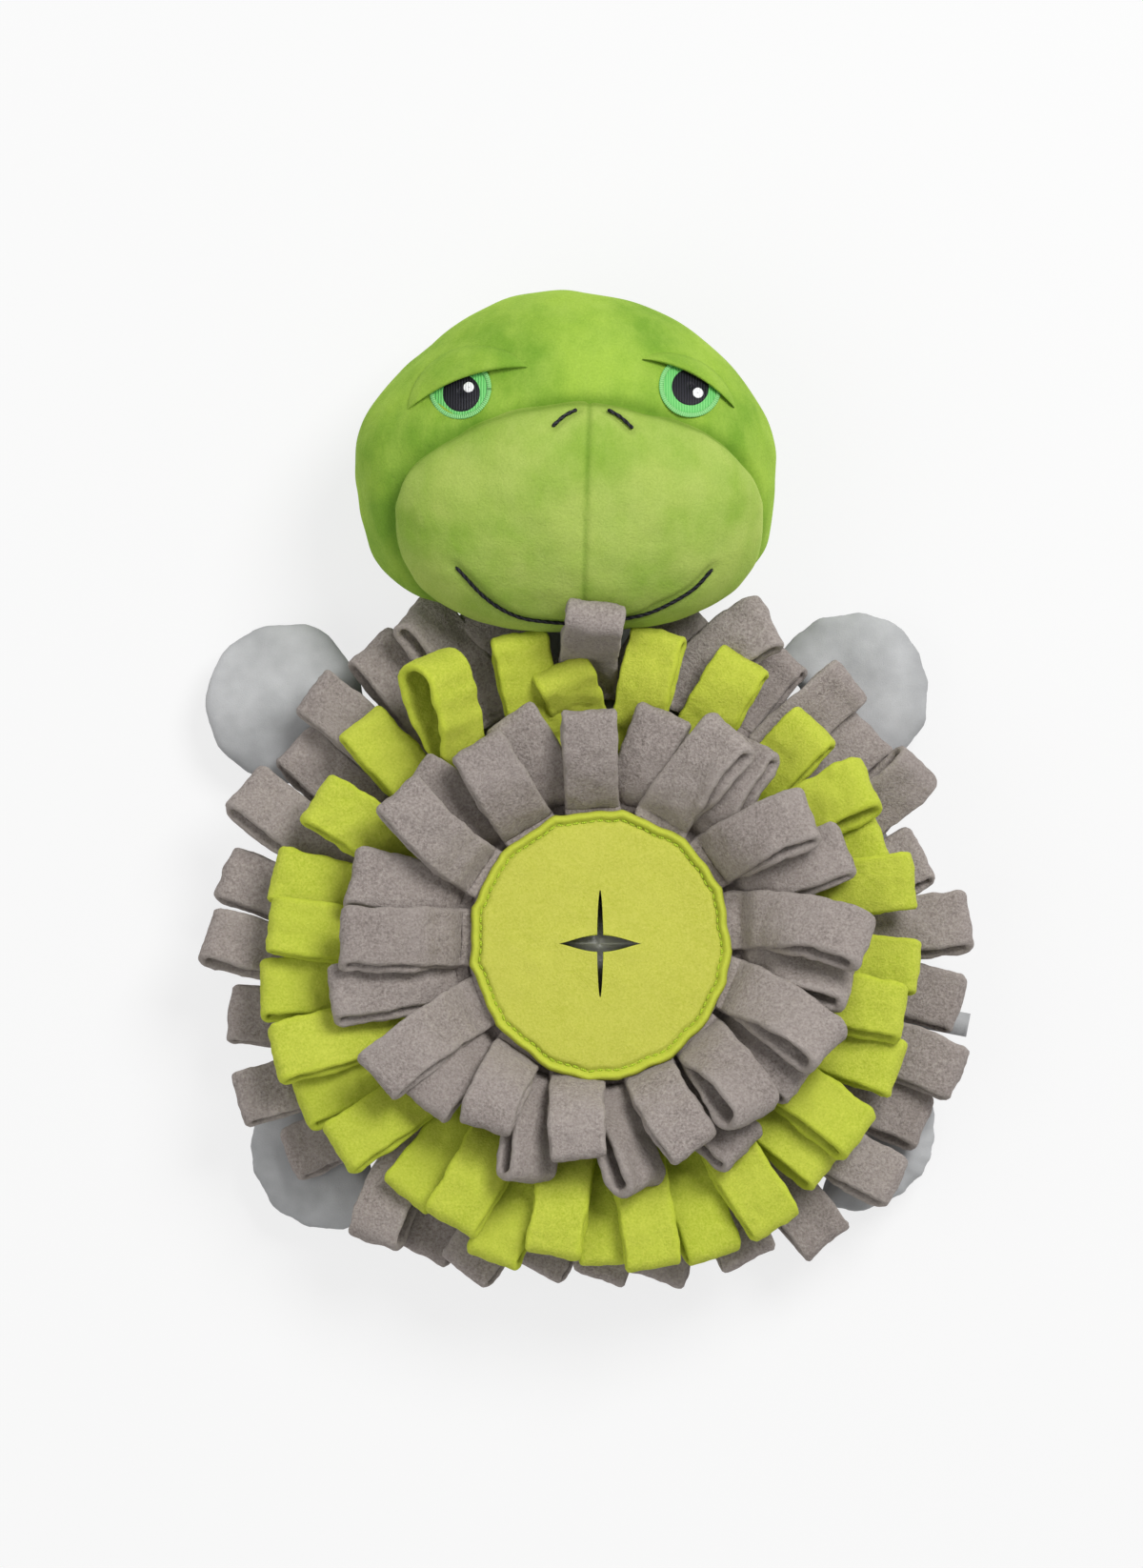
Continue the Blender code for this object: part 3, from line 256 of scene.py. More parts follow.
def piece(name, points, faces, material, body, *nodes, values=None):
    """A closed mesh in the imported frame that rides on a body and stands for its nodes."""
    data = bpy.data.meshes.new(name)
    data.from_pydata(np.asarray(points).tolist(), [], faces)
    mesh = bmesh.new()
    mesh.from_mesh(data)
    bmesh.ops.recalc_face_normals(mesh, faces=mesh.faces)
    mesh.to_mesh(data)
    mesh.free()
    data.shade_smooth()
    for title, value in (values or {}).items():
        data.attributes.new(title, "FLOAT", "POINT").data.foreach_set("value", np.asarray(value, np.float32))
    data.materials.append(material)
    item = add_object(name, data)
    if body:
        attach(item, body)
    if nodes:
        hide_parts(*nodes)
    return item


# Materials

def colour(red, green, blue):
    """A colour as it is seen, from 0 to 255, turned into the light values of a shader."""
    def part(value):
        value /= 255.0
        return value / 12.92 if value <= 0.04045 else ((value + 0.055) / 1.055) ** 2.4
    return (part(red), part(green), part(blue), 1.0)


class Cloth:
    """A procedural fabric: its nodes are added step by step."""

    def __init__(self, name, roughness, sheen, sheen_tint):
        self.material = bpy.data.materials.new(name)
        self.material.use_nodes = True
        self.tree = self.material.node_tree
        self.shader = self.tree.nodes["Principled BSDF"]
        self.shader.inputs["Roughness"].default_value = roughness
        self.shader.inputs["Specular IOR Level"].default_value = 0.2
        self.shader.inputs["Sheen Weight"].default_value = sheen
        self.shader.inputs["Sheen Roughness"].default_value = 0.5
        self.shader.inputs["Sheen Tint"].default_value = sheen_tint
        self.place = self.tree.nodes.new("ShaderNodeTexCoord").outputs["Object"]

    def add(self, kind, **inputs):
        node = self.tree.nodes.new(kind)
        for key, value in inputs.items():
            self.feed(node.inputs[key.replace("_", " ")], value)
        return node

    def feed(self, socket, value):
        if isinstance(value, bpy.types.NodeSocket):
            self.tree.links.new(value, socket)
        else:
            socket.default_value = value

    def noise(self, scale, detail=2.0, roughness=0.5, stretch=None):
        vector = self.place
        if stretch:
            vector = self.add("ShaderNodeMapping", Vector=self.place, Scale=stretch).outputs[0]
        return self.add("ShaderNodeTexNoise", Vector=vector, Scale=scale, Detail=detail,
                        Roughness=roughness).outputs["Fac"]

    def spread(self, value, low, high):
        """Stretches the values between low and high to the range from 0 to 1."""
        node = self.add("ShaderNodeMapRange", Value=value)
        node.inputs["From Min"].default_value = low
        node.inputs["From Max"].default_value = high
        return node.outputs[0]

    def mix(self, share, first, second, kind="MIX"):
        node = self.tree.nodes.new("ShaderNodeMix")
        node.data_type = "RGBA"
        node.blend_type = kind
        self.feed(node.inputs[0], share)
        self.feed(node.inputs[6], first)
        self.feed(node.inputs[7], second)
        return node.outputs[2]

    def scaled(self, value, factor):
        node = self.tree.nodes.new("ShaderNodeMath")
        node.operation = "MULTIPLY"
        self.feed(node.inputs[0], value)
        node.inputs[1].default_value = factor
        return node.outputs[0]

    def total(self, first, second):
        node = self.tree.nodes.new("ShaderNodeMath")
        self.feed(node.inputs[0], first)
        self.feed(node.inputs[1], second)
        return node.outputs[0]

    def attribute(self, name):
        node = self.tree.nodes.new("ShaderNodeAttribute")
        node.attribute_name = name
        return node.outputs["Fac"]

    def paint(self, value):
        self.feed(self.shader.inputs["Base Color"], value)

    def bump(self, height, distance, strength=1.0):
        node = self.add("ShaderNodeBump", Height=height, Distance=distance, Strength=strength)
        self.tree.links.new(node.outputs[0], self.shader.inputs["Normal"])


def fleece(name, dark, light, edge, pebble, depth):
    """Polar fleece: pebbled pile, soft patches and a painted highlight along the cut edges, where light
    catches their fuzz.
    """
    cloth = Cloth(name, 0.95, 0.25, light)
    grain = cloth.noise(pebble, 3.0, 0.6)
    clumps = cloth.noise(pebble * 0.45, 2.0, 0.5)
    height = cloth.total(grain, cloth.scaled(clumps, 0.3))
    shade = cloth.mix(cloth.spread(height, 0.38, 0.86), dark, light)
    patches = cloth.spread(cloth.noise(55.0, 2.0), 0.35, 0.65)
    shade = cloth.mix(cloth.scaled(patches, 0.3), shade, light)
    # Painted highlight: colour mixed towards the edge colour near the cut edges
    shade = cloth.mix(cloth.scaled(cloth.attribute("cut_edge_highlight"), 0.5), shade, edge)
    tint = cloth.spread(cloth.attribute("tint"), 0.0, 1.0)
    cloth.paint(cloth.mix(cloth.scaled(tint, 0.2), shade, dark))
    fibres = cloth.noise(pebble * 4.0, 1.0)
    cloth.bump(cloth.total(height, cloth.scaled(fibres, 0.25)), depth)
    return cloth.material


def velboa(name, dark, light, rubbed_sheen):
    """Short plush: brushed patches of pile that catch the light in different ways."""
    cloth = Cloth(name, 0.85, 0.55, light)
    patches = cloth.spread(cloth.noise(38.0, 3.0, 0.55), 0.36, 0.64)
    shade = cloth.mix(patches, dark, light)
    # Painted sheen: streaks of rubbed pile lighter where they catch the light
    strokes = cloth.spread(cloth.noise(130.0, 3.0, 0.6, (1.0, 0.45, 1.0)), 0.4, 0.66)
    shade = cloth.mix(cloth.scaled(strokes, 0.4), shade, rubbed_sheen)
    pile = cloth.noise(1500.0, 2.0, 0.6)
    shade = cloth.mix(cloth.scaled(cloth.spread(pile, 0.35, 0.65), 0.16), shade, dark, "MULTIPLY")
    # Painted shade: colour darkened along seams, creases and dents, where shade falls
    seam = cloth.attribute("seam")
    cloth.paint(cloth.mix(cloth.scaled(seam, 0.55), shade, dark, "MULTIPLY"))
    cloth.bump(cloth.total(cloth.scaled(pile, 0.6), cloth.noise(420.0, 3.0, 0.6)), 0.00035, 0.8)
    return cloth.material


def brushed(name, dark, light, weave=2600.0, depth=0.00012):
    """Smooth cloth with a fine weave and faint soft patches."""
    cloth = Cloth(name, 0.8, 0.2, light)
    patches = cloth.spread(cloth.noise(45.0, 3.0, 0.6), 0.3, 0.7)
    grain = cloth.noise(weave, 2.0, 0.6)
    shade = cloth.mix(patches, dark, light)
    shade = cloth.mix(cloth.scaled(cloth.spread(grain, 0.3, 0.7), 0.1), shade, dark, "MULTIPLY")
    # Painted shade: colour darkened along the seams, where shade falls in the groove
    cloth.paint(cloth.mix(cloth.scaled(cloth.attribute("seam"), 0.5), shade, dark, "MULTIPLY"))
    cloth.bump(grain, depth)
    return cloth.material


def satin_thread(name, dark, light):
    """Embroidery: fine threads side by side across the stitched patch."""
    cloth = Cloth(name, 0.45, 0.1, light)
    wave = cloth.tree.nodes.new("ShaderNodeMath")
    wave.operation = "SINE"
    cloth.feed(wave.inputs[0], cloth.attribute("thread"))
    ridge = cloth.spread(wave.outputs[0], -1.0, 1.0)
    # Painted highlight on each thread's crest and painted shade between the threads
    cloth.paint(cloth.mix(ridge, dark, light))
    cloth.bump(ridge, 0.0002, 0.8)
    return cloth.material


# The third colour of each fleece is the painted highlight of its cut edges
GREY = fleece("grey_fleece", colour(116, 106, 102), colour(184, 174, 168), colour(184, 175, 168),
              1300.0, 0.0006)
LIME = fleece("lime_fleece", colour(164, 180, 48), colour(204, 210, 84), colour(202, 216, 62),
              1500.0, 0.0003)
FELT = fleece("cover_felt", colour(176, 181, 62), colour(200, 200, 90), colour(190, 208, 50),
              1500.0, 0.0002)
CROWN = velboa("crown_velboa", colour(120, 160, 50), colour(156, 188, 68), colour(168, 196, 84))
MUZZLE = velboa("muzzle_velboa", colour(136, 170, 60), colour(168, 188, 90), colour(176, 194, 102))
PALE = brushed("pale_cloth", colour(158, 159, 160), colour(196, 197, 198))
LINING = brushed("pocket_lining", colour(188, 188, 186), colour(212, 212, 210), 1400.0, 0.0003)
BLACK = satin_thread("black_thread", colour(16, 16, 20), colour(44, 44, 52))
MINT = satin_thread("mint_thread", colour(112, 192, 110), colour(152, 214, 142))
IRIS = satin_thread("iris_thread", colour(92, 184, 96), colour(130, 212, 124))
WHITE = satin_thread("white_thread", colour(226, 228, 230), colour(250, 250, 250))
LIME_THREAD = satin_thread("lime_thread", colour(160, 190, 40), colour(200, 220, 70))


# Fringe

def strip_ring():
    """Rounded cross-section of a strip: places and outward directions."""
    across = STRIP_WIDTH / 2 - FLEECE_EDGE
    count = round(2 * across / STEP)
    line = np.linspace(-across, across, count + 1)
    half = FLEECE / 2
    turns = np.radians((60.0, 20.0, -20.0, -60.0))
    ring = [(v, half, 0.0, 1.0) for v in line]
    ring += [(across + FLEECE_EDGE * math.cos(a), half * math.sin(a), math.cos(a), math.sin(a))
             for a in turns]
    ring += [(v, -half, 0.0, -1.0) for v in line[::-1]]
    ring += [(-across - FLEECE_EDGE * math.cos(a), -half * math.sin(a), -math.cos(a), -math.sin(a))
             for a in turns]
    return np.array(ring)


STRIP = strip_ring()


def make_loop(place, radius, reach, root_height, tip_height, seed):
    """One folded strip: its points, the count of stations, nearness to a cut edge and length."""
    sewn, tip, share, roll, fold, lift = place
    rng = np.random.default_rng(seed)
    fold = fold / 1000.0
    lift = lift / 1000.0 + rng.uniform(-0.0007, 0.0010)
    nose = fold * 0.9
    start = ray(sewn) * (radius - TUCK)
    end = ray(tip) * (reach * share - nose - FLEECE / 2)
    bend = start + ray(sewn) * np.linalg.norm(end - start) * 0.45

    def spine(t):
        t = np.asarray(t)[:, None]
        plan = (1 - t) ** 2 * start + 2 * t * (1 - t) * bend + t ** 2 * end
        free = np.clip((t - 0.09) / 0.91, 0.0, 1.0)
        rise = (1.0 - (1.0 - free) ** 2.4) * smooth(free * 5.0) if tip_height > root_height else t
        height = root_height + (tip_height - root_height) * rise + lift * t ** 1.6
        return np.concatenate((plan, height), 1)

    length = np.linalg.norm(np.append(end - start, tip_height + lift - root_height))
    leg = np.linspace(0.0, 1.0, max(int(length / STEP), 12))
    arc = np.linspace(0.0, math.pi, 11)[1:-1]
    t = np.concatenate((leg, np.ones(len(arc)), leg[::-1]))
    side = np.concatenate((np.ones(len(leg)), np.cos(arc), -np.ones(len(leg))))
    forward = np.concatenate((np.zeros(len(leg)), np.sin(arc) * nose, np.zeros(len(leg))))
    gap = SEWN_HALF_GAP + (fold - SEWN_HALF_GAP) * smooth(t * 1.2 - 0.1)

    centre = spine(t)
    ahead = np.minimum(t + 0.01, 1.0)
    along = unit(spine(ahead) - spine(np.maximum(ahead - 0.02, 0.0)))
    left = unit(np.cross((0.0, 0.0, 1.0), along))
    up = np.cross(along, left)
    turn = np.radians(roll + rng.uniform(-3.0, 3.0)) * smooth(t * 1.7 - 0.3)
    turn = turn[:, None]
    left, up = left * np.cos(turn) + up * np.sin(turn), up * np.cos(turn) - left * np.sin(turn)
    sideways = -left[:, 1] * UNDER_SHIFT * rng.uniform(0.3, 1.2) * smooth(t * 1.6)
    path = centre + along * forward[:, None] + up * (side * gap)[:, None]
    path += left * (sideways * (1.0 - side) / 2)[:, None]
    path += up * (rng.uniform(0.0003, 0.0009) * np.sin(t * math.pi * 1.6 + rng.uniform(0, 6.0)))[:, None]
    outward = np.cross(unit(np.gradient(path, axis=0)), left)

    v, h, out_v, out_h = STRIP.T
    cup = rng.uniform(-0.0005, 0.0003) * ((2.0 * v / STRIP_WIDTH) ** 2 - 0.3)
    width = rng.uniform(0.94, 1.04)
    points = path[:, None] + left[:, None] * (v * width)[:, None] + outward[:, None] * (h + cup)[:, None]
    normals = left[:, None] * out_v[:, None] + outward[:, None] * out_h[:, None]
    points = points.reshape(-1, 3)
    normals = normals.reshape(-1, 3)
    relief = 0.00028 * ripple(points, 0.009, seed) + 0.00012 * ripple(points, 0.0032, seed + 1)
    points = points + normals * relief[:, None]
    # Nearness to the cut edges, which sets the painted highlight there
    near_edge = np.clip(1.0 - (STRIP_WIDTH / 2 - np.abs(v)) / 0.0016, 0.0, 1.0)
    strip_length = np.linalg.norm(np.diff(path, axis=0), axis=1).sum()
    return points, len(path), np.tile(near_edge, len(path)), strip_length


def make_band(radius, height, half, seed):
    """The sewn band under the roots of a row's loops."""
    angles = circle(180)
    outer, inner = radius - BAND_INSET, radius - BAND_WIDTH
    ring = ((outer, half), (outer, -half), (inner, -half), (inner, half))
    points = []
    for angle in angles:
        points += [(r * math.cos(angle), r * math.sin(angle), height + h) for r, h in ring]
    points = np.array(points)
    points[:, 2] += 0.0002 * ripple(points, 0.012, seed)
    return points, tube_faces(len(angles), len(ring), True)


def make_row(title, seed):
    """A sewn row: its loops and the band that they are cut from, as one mesh."""
    radius, reach, places, rises = BANDS[title]
    node = "fringe_" + title
    low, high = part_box(node)
    sewn_half = SEWN_HALF_GAP + FLEECE / 2
    bottom, top = low.z + sewn_half, high.z - TIP_HALF
    if rises < 0:
        bottom, top = high.z - sewn_half, low.z + TIP_HALF
    points, faces, edges, tints = [], [], [], []
    offset, area = 0, 0.0
    rng = np.random.default_rng(seed)
    for index, place in enumerate(places):
        loop, stations, edge, length = make_loop(place, radius, reach, bottom, top, seed + 10 * index)
        points.append(loop)
        faces += [[corner + offset for corner in face] for face in tube_faces(stations, len(STRIP))]
        offset += len(loop)
        edges.append(edge)
        tints.append(np.full(len(loop), rng.uniform(0.0, 1.0)))
        area += length * STRIP_WIDTH
    band, band_faces = make_band(radius, bottom, FLEECE, seed)
    points.append(band)
    faces += [[corner + offset for corner in face] for face in band_faces]
    edges.append(np.zeros(len(band)))
    tints.append(np.full(len(band), 0.5))
    cloth = LIME if title.startswith("middle") else GREY
    values = {"cut_edge_highlight": np.concatenate(edges), "tint": np.concatenate(tints)}
    row = piece("loops_" + title, np.concatenate(points), faces, cloth, "body", node, values=values)
    around = math.tau * radius
    area += around * 2 * (BAND_WIDTH + FLEECE)


def make_fringe():
    for number, title in enumerate(BANDS):
        make_row(title, 1000 * (number + 1))


# Felt cover

def rim(angle, inset):
    """Radius of the cover's edge, that far in from it: it is pulled in between its corners."""
    corners = np.radians(COVER_CORNERS)
    turned = (angle - corners[0]) % math.tau + corners[0]
    after = np.clip(np.searchsorted(corners, turned, "right"), 1, len(corners) - 1)
    first, last = corners[after - 1], corners[after]
    share = (turned - first) / (last - first)
    sag = (1.0 - np.cos((last - first) / 2)) * (4 * share * (1 - share)) ** 0.8 * (1.0 - 40.0 * inset)
    stretch = np.hypot(np.cos(angle), np.sin(angle) * COVER_LENGTH)
    wobble = 0.00016 * np.sin(19 * angle + 2.0) + 0.00012 * np.sin(33 * angle) + 0.0003 * np.sin(3 * angle)
    return (COVER_RADIUS + 0.0006 - inset) * stretch * (1.0 - sag) + wobble


def diamond(angle):
    """Reach of the four flaps' bases: a diamond through the slit's ends."""
    return 1.0 / (np.abs(np.cos(angle)) / SLIT_HALF_WIDTH + np.abs(np.sin(angle)) / SLIT_HALF_HEIGHT)


def slit_edge(angle):
    """Edge of the open slit: a flat lens across and a thin one up and down."""
    reach = np.linspace(0.0, SLIT_HALF_HEIGHT, 900)[None]
    x, y = reach * np.abs(np.cos(angle))[:, None], reach * np.abs(np.sin(angle))[:, None]
    across = y <= SLIT_OPEN_HEIGHT * np.clip(1.0 - (x / SLIT_HALF_WIDTH) ** 2, 0.0, 1.0) ** 1.5
    upright = x <= SLIT_OPEN_WIDTH * np.clip(1.0 - (y / SLIT_HALF_HEIGHT) ** 2, 0.0, 1.0) ** 0.6
    return np.minimum((reach * (across | upright)).max(1), diamond(angle) * 0.985)


def cover_swell(x, y):
    """How far the felt stands above its flat, over the pocket and at the slit's lips."""
    points = np.stack((x, y, np.zeros_like(x)), -1).reshape(-1, 3)
    wave = 0.00028 * ripple(points, 0.026, 71) + 0.00008 * ripple(points, 0.007, 72)
    radius = np.hypot(x, y)
    lips = 0.0004 * np.exp(-(np.abs(x) / 0.0022) ** 2 - (np.abs(y) / 0.015) ** 4)
    lips += 0.0004 * np.exp(-(np.abs(y) / 0.0030) ** 2 - (np.abs(x) / 0.012) ** 4)
    return wave.reshape(x.shape) + 0.0009 * np.cos(np.clip(radius / COVER_RADIUS, 0, 1) * math.pi / 2) + lips


def felt_points(angles, stations):
    """Points of felt; each station has its radius, height and share of the swell."""
    points = np.zeros((len(angles), len(stations), 3))
    for number, (radius, height, swell) in enumerate(stations):
        x, y = radius * np.cos(angles), radius * np.sin(angles)
        points[:, number, 0], points[:, number, 1] = x, y
        points[:, number, 2] = height + swell * cover_swell(x, y)
    return points.reshape(-1, 3)


def make_cover():
    """The felt round with its rolled edge, from the slit's diamond outwards and back below."""
    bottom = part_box("pocket_cover")[0].z
    top = bottom + COVER_THICKNESS
    angles = circle(320)
    inner, outer = diamond(angles), rim(angles, 0.0046)
    stations = []
    for share in np.linspace(0.0, 1.0, 30):
        stations.append((inner + (outer - inner) * share, top, 1.0))
    pinch = 0.75 + 0.25 * np.sin(angles * 31.0) * np.sin(angles * 5.0 + 1.0)
    for inset, height in ((0.0040, -0.0002), (0.0035, -0.0009), (0.0031, -0.0013), (0.0027, -0.0008),
                          (0.0023, 0.0001), (0.0018, 0.0007), (0.0012, 0.0009), (0.0007, 0.0006),
                          (0.0003, -0.0001), (0.0, -0.0012), (0.0004, -0.0022), (0.0012, -0.0027)):
        share = 1.0 if height < 0 else 0.55 + 0.45 * pinch
        stations.append((rim(angles, inset), top + height * share, float(height > -0.001)))
    for share in np.linspace(1.0, 0.0, 6):
        stations.append((inner + (outer - inner) * share, bottom, 0.0))
    # Painted highlight on the rolled edge of the felt
    near = np.zeros((len(angles), len(stations)))
    near[:, 33:40] = 0.9
    shape = felt_points(angles, stations)
    cover = piece("felt_cover", shape, tube_faces(len(angles), len(stations), True), FELT, "body",
                  "pocket_cover", values={"cut_edge_highlight": near.ravel(), "tint": np.zeros(len(shape))})


def make_flap(title, quarter):
    """A corner of the cover, from the slit out to its base; in the toy the felt bends down into the pocket
    about that base.
    """
    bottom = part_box("pocket_cover")[0].z
    top = bottom + COVER_THICKNESS
    sweep = np.linspace(-0.985, 0.985, 91)
    spread = np.sign(sweep) * (1.0 - (1.0 - np.abs(sweep)) ** 2.0)
    angles = (quarter + 0.5 + 0.5 * spread) * math.pi / 2
    inner, outer = slit_edge(angles), diamond(angles)
    stations = [(share, top, 1.0, 0.0) for share in np.linspace(0.04, 1.0, 16)]
    stations += [(1.0, top + 0.00002, 1.0, 0.0010), (1.0, top + 0.00002, 1.0, 0.0011),
                 (1.0, top - 0.0004, 1.0, 0.0011), (1.0, top - 0.0004, 1.0, -0.0003)]
    stations += [(share, bottom, 0.0, -0.0003 * share) for share in np.linspace(1.0, 0.04, 6)]
    stations += [(0.01, bottom + 0.0006, 0.0, 0.0), (0.0, (bottom + top) / 2, 0.5, 0.0),
                 (0.01, top - 0.0004, 1.0, 0.0)]
    shape = felt_points(angles, [(inner + (outer - inner) * share + over, height, swell)
                                 for share, height, swell, over in stations])
    node = "slit_flap_" + title
    # Painted highlight along the flap's cut edge at the slit
    near = np.tile(np.array([s[0] < 0.1 for s in stations], float), len(angles))
    flap = piece("felt_flap_" + title, shape, tube_faces(len(angles), len(stations)), FELT, None, node,
                 values={"cut_edge_highlight": near * 0.6, "tint": np.zeros(len(shape))})
    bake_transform(flap)


def make_cover_thread():
    """Single stitches that lie in the channel behind the cover's rolled edge."""
    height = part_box("pocket_cover")[0].z + COVER_THICKNESS - STITCH_DEPTH
    sides = 6
    points, faces, turns = [], [], []
    for index in range(STITCH_COUNT):
        middle = math.tau * index / STITCH_COUNT
        span = math.tau / STITCH_COUNT * 0.38
        for step in np.linspace(-1.0, 1.0, 5):
            angle = middle + span * step
            radius = rim(np.array(angle), STITCH_INSET)
            thick = 0.00034 * math.sqrt(1.0 - 0.8 * step * step)
            place = np.array([radius * math.cos(angle)]), np.array([radius * math.sin(angle)])
            swell = cover_swell(*place)[0]
            for side in range(sides):
                turn = math.tau * side / sides
                r = radius + thick * math.cos(turn)
                points.append((r * math.cos(angle), r * math.sin(angle),
                               height + swell + thick * math.sin(turn)))
                turns.append(step * 9.0 + turn)
        base = len(points) - 5 * sides
        faces += [[corner + base for corner in face] for face in tube_faces(5, sides)]
    piece("cover_thread", np.array(points), faces, LIME_THREAD, "body", "cover_stitching",
          values={"thread": np.array(turns)})


def make_lining():
    """The cloth pocket under the cover, creased where it is gathered."""
    low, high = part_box("treat_pocket")
    top, floor, outer, flange, wall = high.z, low.z, POCKET_RADIUS, FLANGE_RADIUS, LINING_WALL
    mound = high.z - MOUND_DEPTH
    angles = circle(120)
    swell = [(radius, mound - depth) for radius, depth in MOUND]
    swell.append((outer - wall - 0.001, floor + 0.0018))
    profile = [(radius, height - wall) for radius, height in swell[:-1]]
    profile += [(outer - 0.002, floor + 0.0002), (outer, floor + 0.003)]
    profile += [(outer, floor + (top - floor) * share) for share in (0.4, 0.7, 0.93)]
    profile += [(flange, top - wall), (flange, top - 0.0002), (outer + 0.002, top)]
    profile += [(outer - wall, top - 0.002)]
    profile += [(outer - wall, floor + (top - floor) * share) for share in (0.8, 0.6, 0.4, 0.2)]
    profile += swell[::-1]
    radii, heights = np.array(profile).T
    points = np.zeros((len(angles), len(profile), 3))
    folds = 0.0004 * np.sin(17 * angles) + 0.0003 * np.sin(29 * angles + 1.0)
    radius = radii[None] + folds[:, None] * ((radii < outer) & (radii > 0.02))[None]
    points[..., 0] = radius * np.cos(angles)[:, None]
    points[..., 1] = radius * np.sin(angles)[:, None]
    ridge = high.z - RIDGE_DEPTH - 1.25 * np.abs(points[..., 1]) - 18.0 * points[..., 0] ** 2
    layer = np.where(np.arange(len(profile)) < len(swell), wall, 0.0)[None]
    under_slit = (radii < 0.0165)[None]
    points[..., 2] = np.where(under_slit, np.maximum(heights[None], ridge - layer), heights[None])
    shape = points.reshape(-1, 3)
    lining = piece("pocket_lining", shape, tube_faces(len(angles), len(profile), True), LINING, "body",
                   "treat_pocket", values={"seam": np.zeros(len(shape))})


# Head

def outline(angle, half_x, half_top, half_chin, top_power, chin_power):
    """Plan outline of a rounded form, squarer at the chin than at the top."""
    above = np.sin(angle) >= 0.0
    power = np.where(above, top_power, chin_power)
    x = np.abs(np.cos(angle)) / half_x
    y = np.abs(np.sin(angle)) / np.where(above, half_top, half_chin)
    return 1.0 / (x ** power + y ** power) ** (1.0 / power)


def head_outline(angle):
    return outline(angle, *HEAD_HALF[:3], *HEAD_POWERS)


def muzzle_outline(angle):
    return outline(angle, *MUZZLE_HALF[:3], *MUZZLE_POWERS)


def head_depth(points):
    """About how far points lie outside the head's form."""
    away = points - np.array(HEAD_CENTRE)
    plan = np.hypot(away[:, 0], away[:, 1]) / head_outline(np.arctan2(away[:, 1], away[:, 0]))
    level = np.abs(away[:, 2]) / HEAD_HALF[3]
    return ((plan ** (2 / HEAD_FULLNESS) + level ** 2) ** 0.5 - 1.0) * 0.045


def muzzle_depth(points):
    """About how far points lie outside the muzzle's form."""
    away = points - np.array(MUZZLE_CENTRE)
    plan = np.hypot(away[:, 0], away[:, 1]) / muzzle_outline(np.arctan2(away[:, 1], away[:, 0]))
    level = np.abs(away[:, 2] - MUZZLE_SLOPE * away[:, 1]) / MUZZLE_HALF[3]
    return ((plan ** (2 / MUZZLE_FULLNESS) + level ** 2) ** 0.5 - 1.0) * 0.038


def head_surface(x, y):
    """Height of the head's round form over places in plan."""
    away_x, away_y = x - HEAD_CENTRE[0], y - HEAD_CENTRE[1]
    share = np.hypot(away_x, away_y) / head_outline(np.arctan2(away_y, away_x))
    rise = np.sqrt(np.clip(1.0 - share ** (2 / HEAD_FULLNESS), 0.0, 1.0))
    return HEAD_CENTRE[2] + HEAD_HALF[3] * rise


def on_muzzle(places):
    """Points of the muzzle's surface over places in plan."""
    x, y = (np.asarray(places) - np.array(MUZZLE_CENTRE[:2])).T
    share = np.clip(np.hypot(x, y) / muzzle_outline(np.arctan2(y, x)), 0.0, 1.0)
    rise = np.sqrt(1.0 - share ** (2 / MUZZLE_FULLNESS))
    z = MUZZLE_CENTRE[2] + MUZZLE_HALF[3] * rise + MUZZLE_SLOPE * y
    return np.stack((MUZZLE_CENTRE[0] + x, MUZZLE_CENTRE[1] + y, z), -1)


def unit_ball(detail):
    mesh = bmesh.new()
    bmesh.ops.create_icosphere(mesh, subdivisions=detail, radius=1.0)
    points = np.array([v.co for v in mesh.verts])
    faces = [[v.index for v in f.verts] for f in mesh.faces]
    mesh.free()
    return points, faces


def round_form(centre, half, shape, fullness, slope=0.0):
    """A rounded form: its points, their directions from the centre and its faces."""
    ball, faces = unit_ball(7)
    angle = np.arctan2(ball[:, 1], ball[:, 0])
    width = np.clip(1.0 - ball[:, 2] ** 2, 0.0, 1.0) ** (fullness / 2)
    radius = shape(angle) * width
    y = radius * np.sin(angle)
    z = half * ball[:, 2] + slope * y
    points = np.array(centre) + np.stack((radius * np.cos(angle), y, z), -1)
    return points, unit(points - np.array(centre)), faces


def line_distance(points, line):
    """Least distance of each point to a line of points."""
    best = np.full(len(points), 1.0)
    for first, second in zip(line, line[1:]):
        step = second - first
        share = np.clip((points - first) @ step / (step @ step), 0.0, 1.0)[:, None]
        best = np.minimum(best, np.linalg.norm(points - first - share * step, axis=1))
    return best


def spline(places, count):
    """A smooth line of points through places."""
    places = np.asarray(places, float)
    knots = np.arange(len(places))
    fine = np.linspace(0, len(places) - 1, count)
    tangents = np.gradient(places, axis=0)
    index = np.minimum(fine.astype(int), len(places) - 2)
    t = (fine - knots[index])[:, None]
    a, b = places[index], places[index + 1]
    m, n = tangents[index], tangents[index + 1]
    return ((2 * t ** 3 - 3 * t ** 2 + 1) * a + (t ** 3 - 2 * t ** 2 + t) * m
            + (3 * t ** 2 - 2 * t ** 3) * b + (t ** 3 - t ** 2) * n)


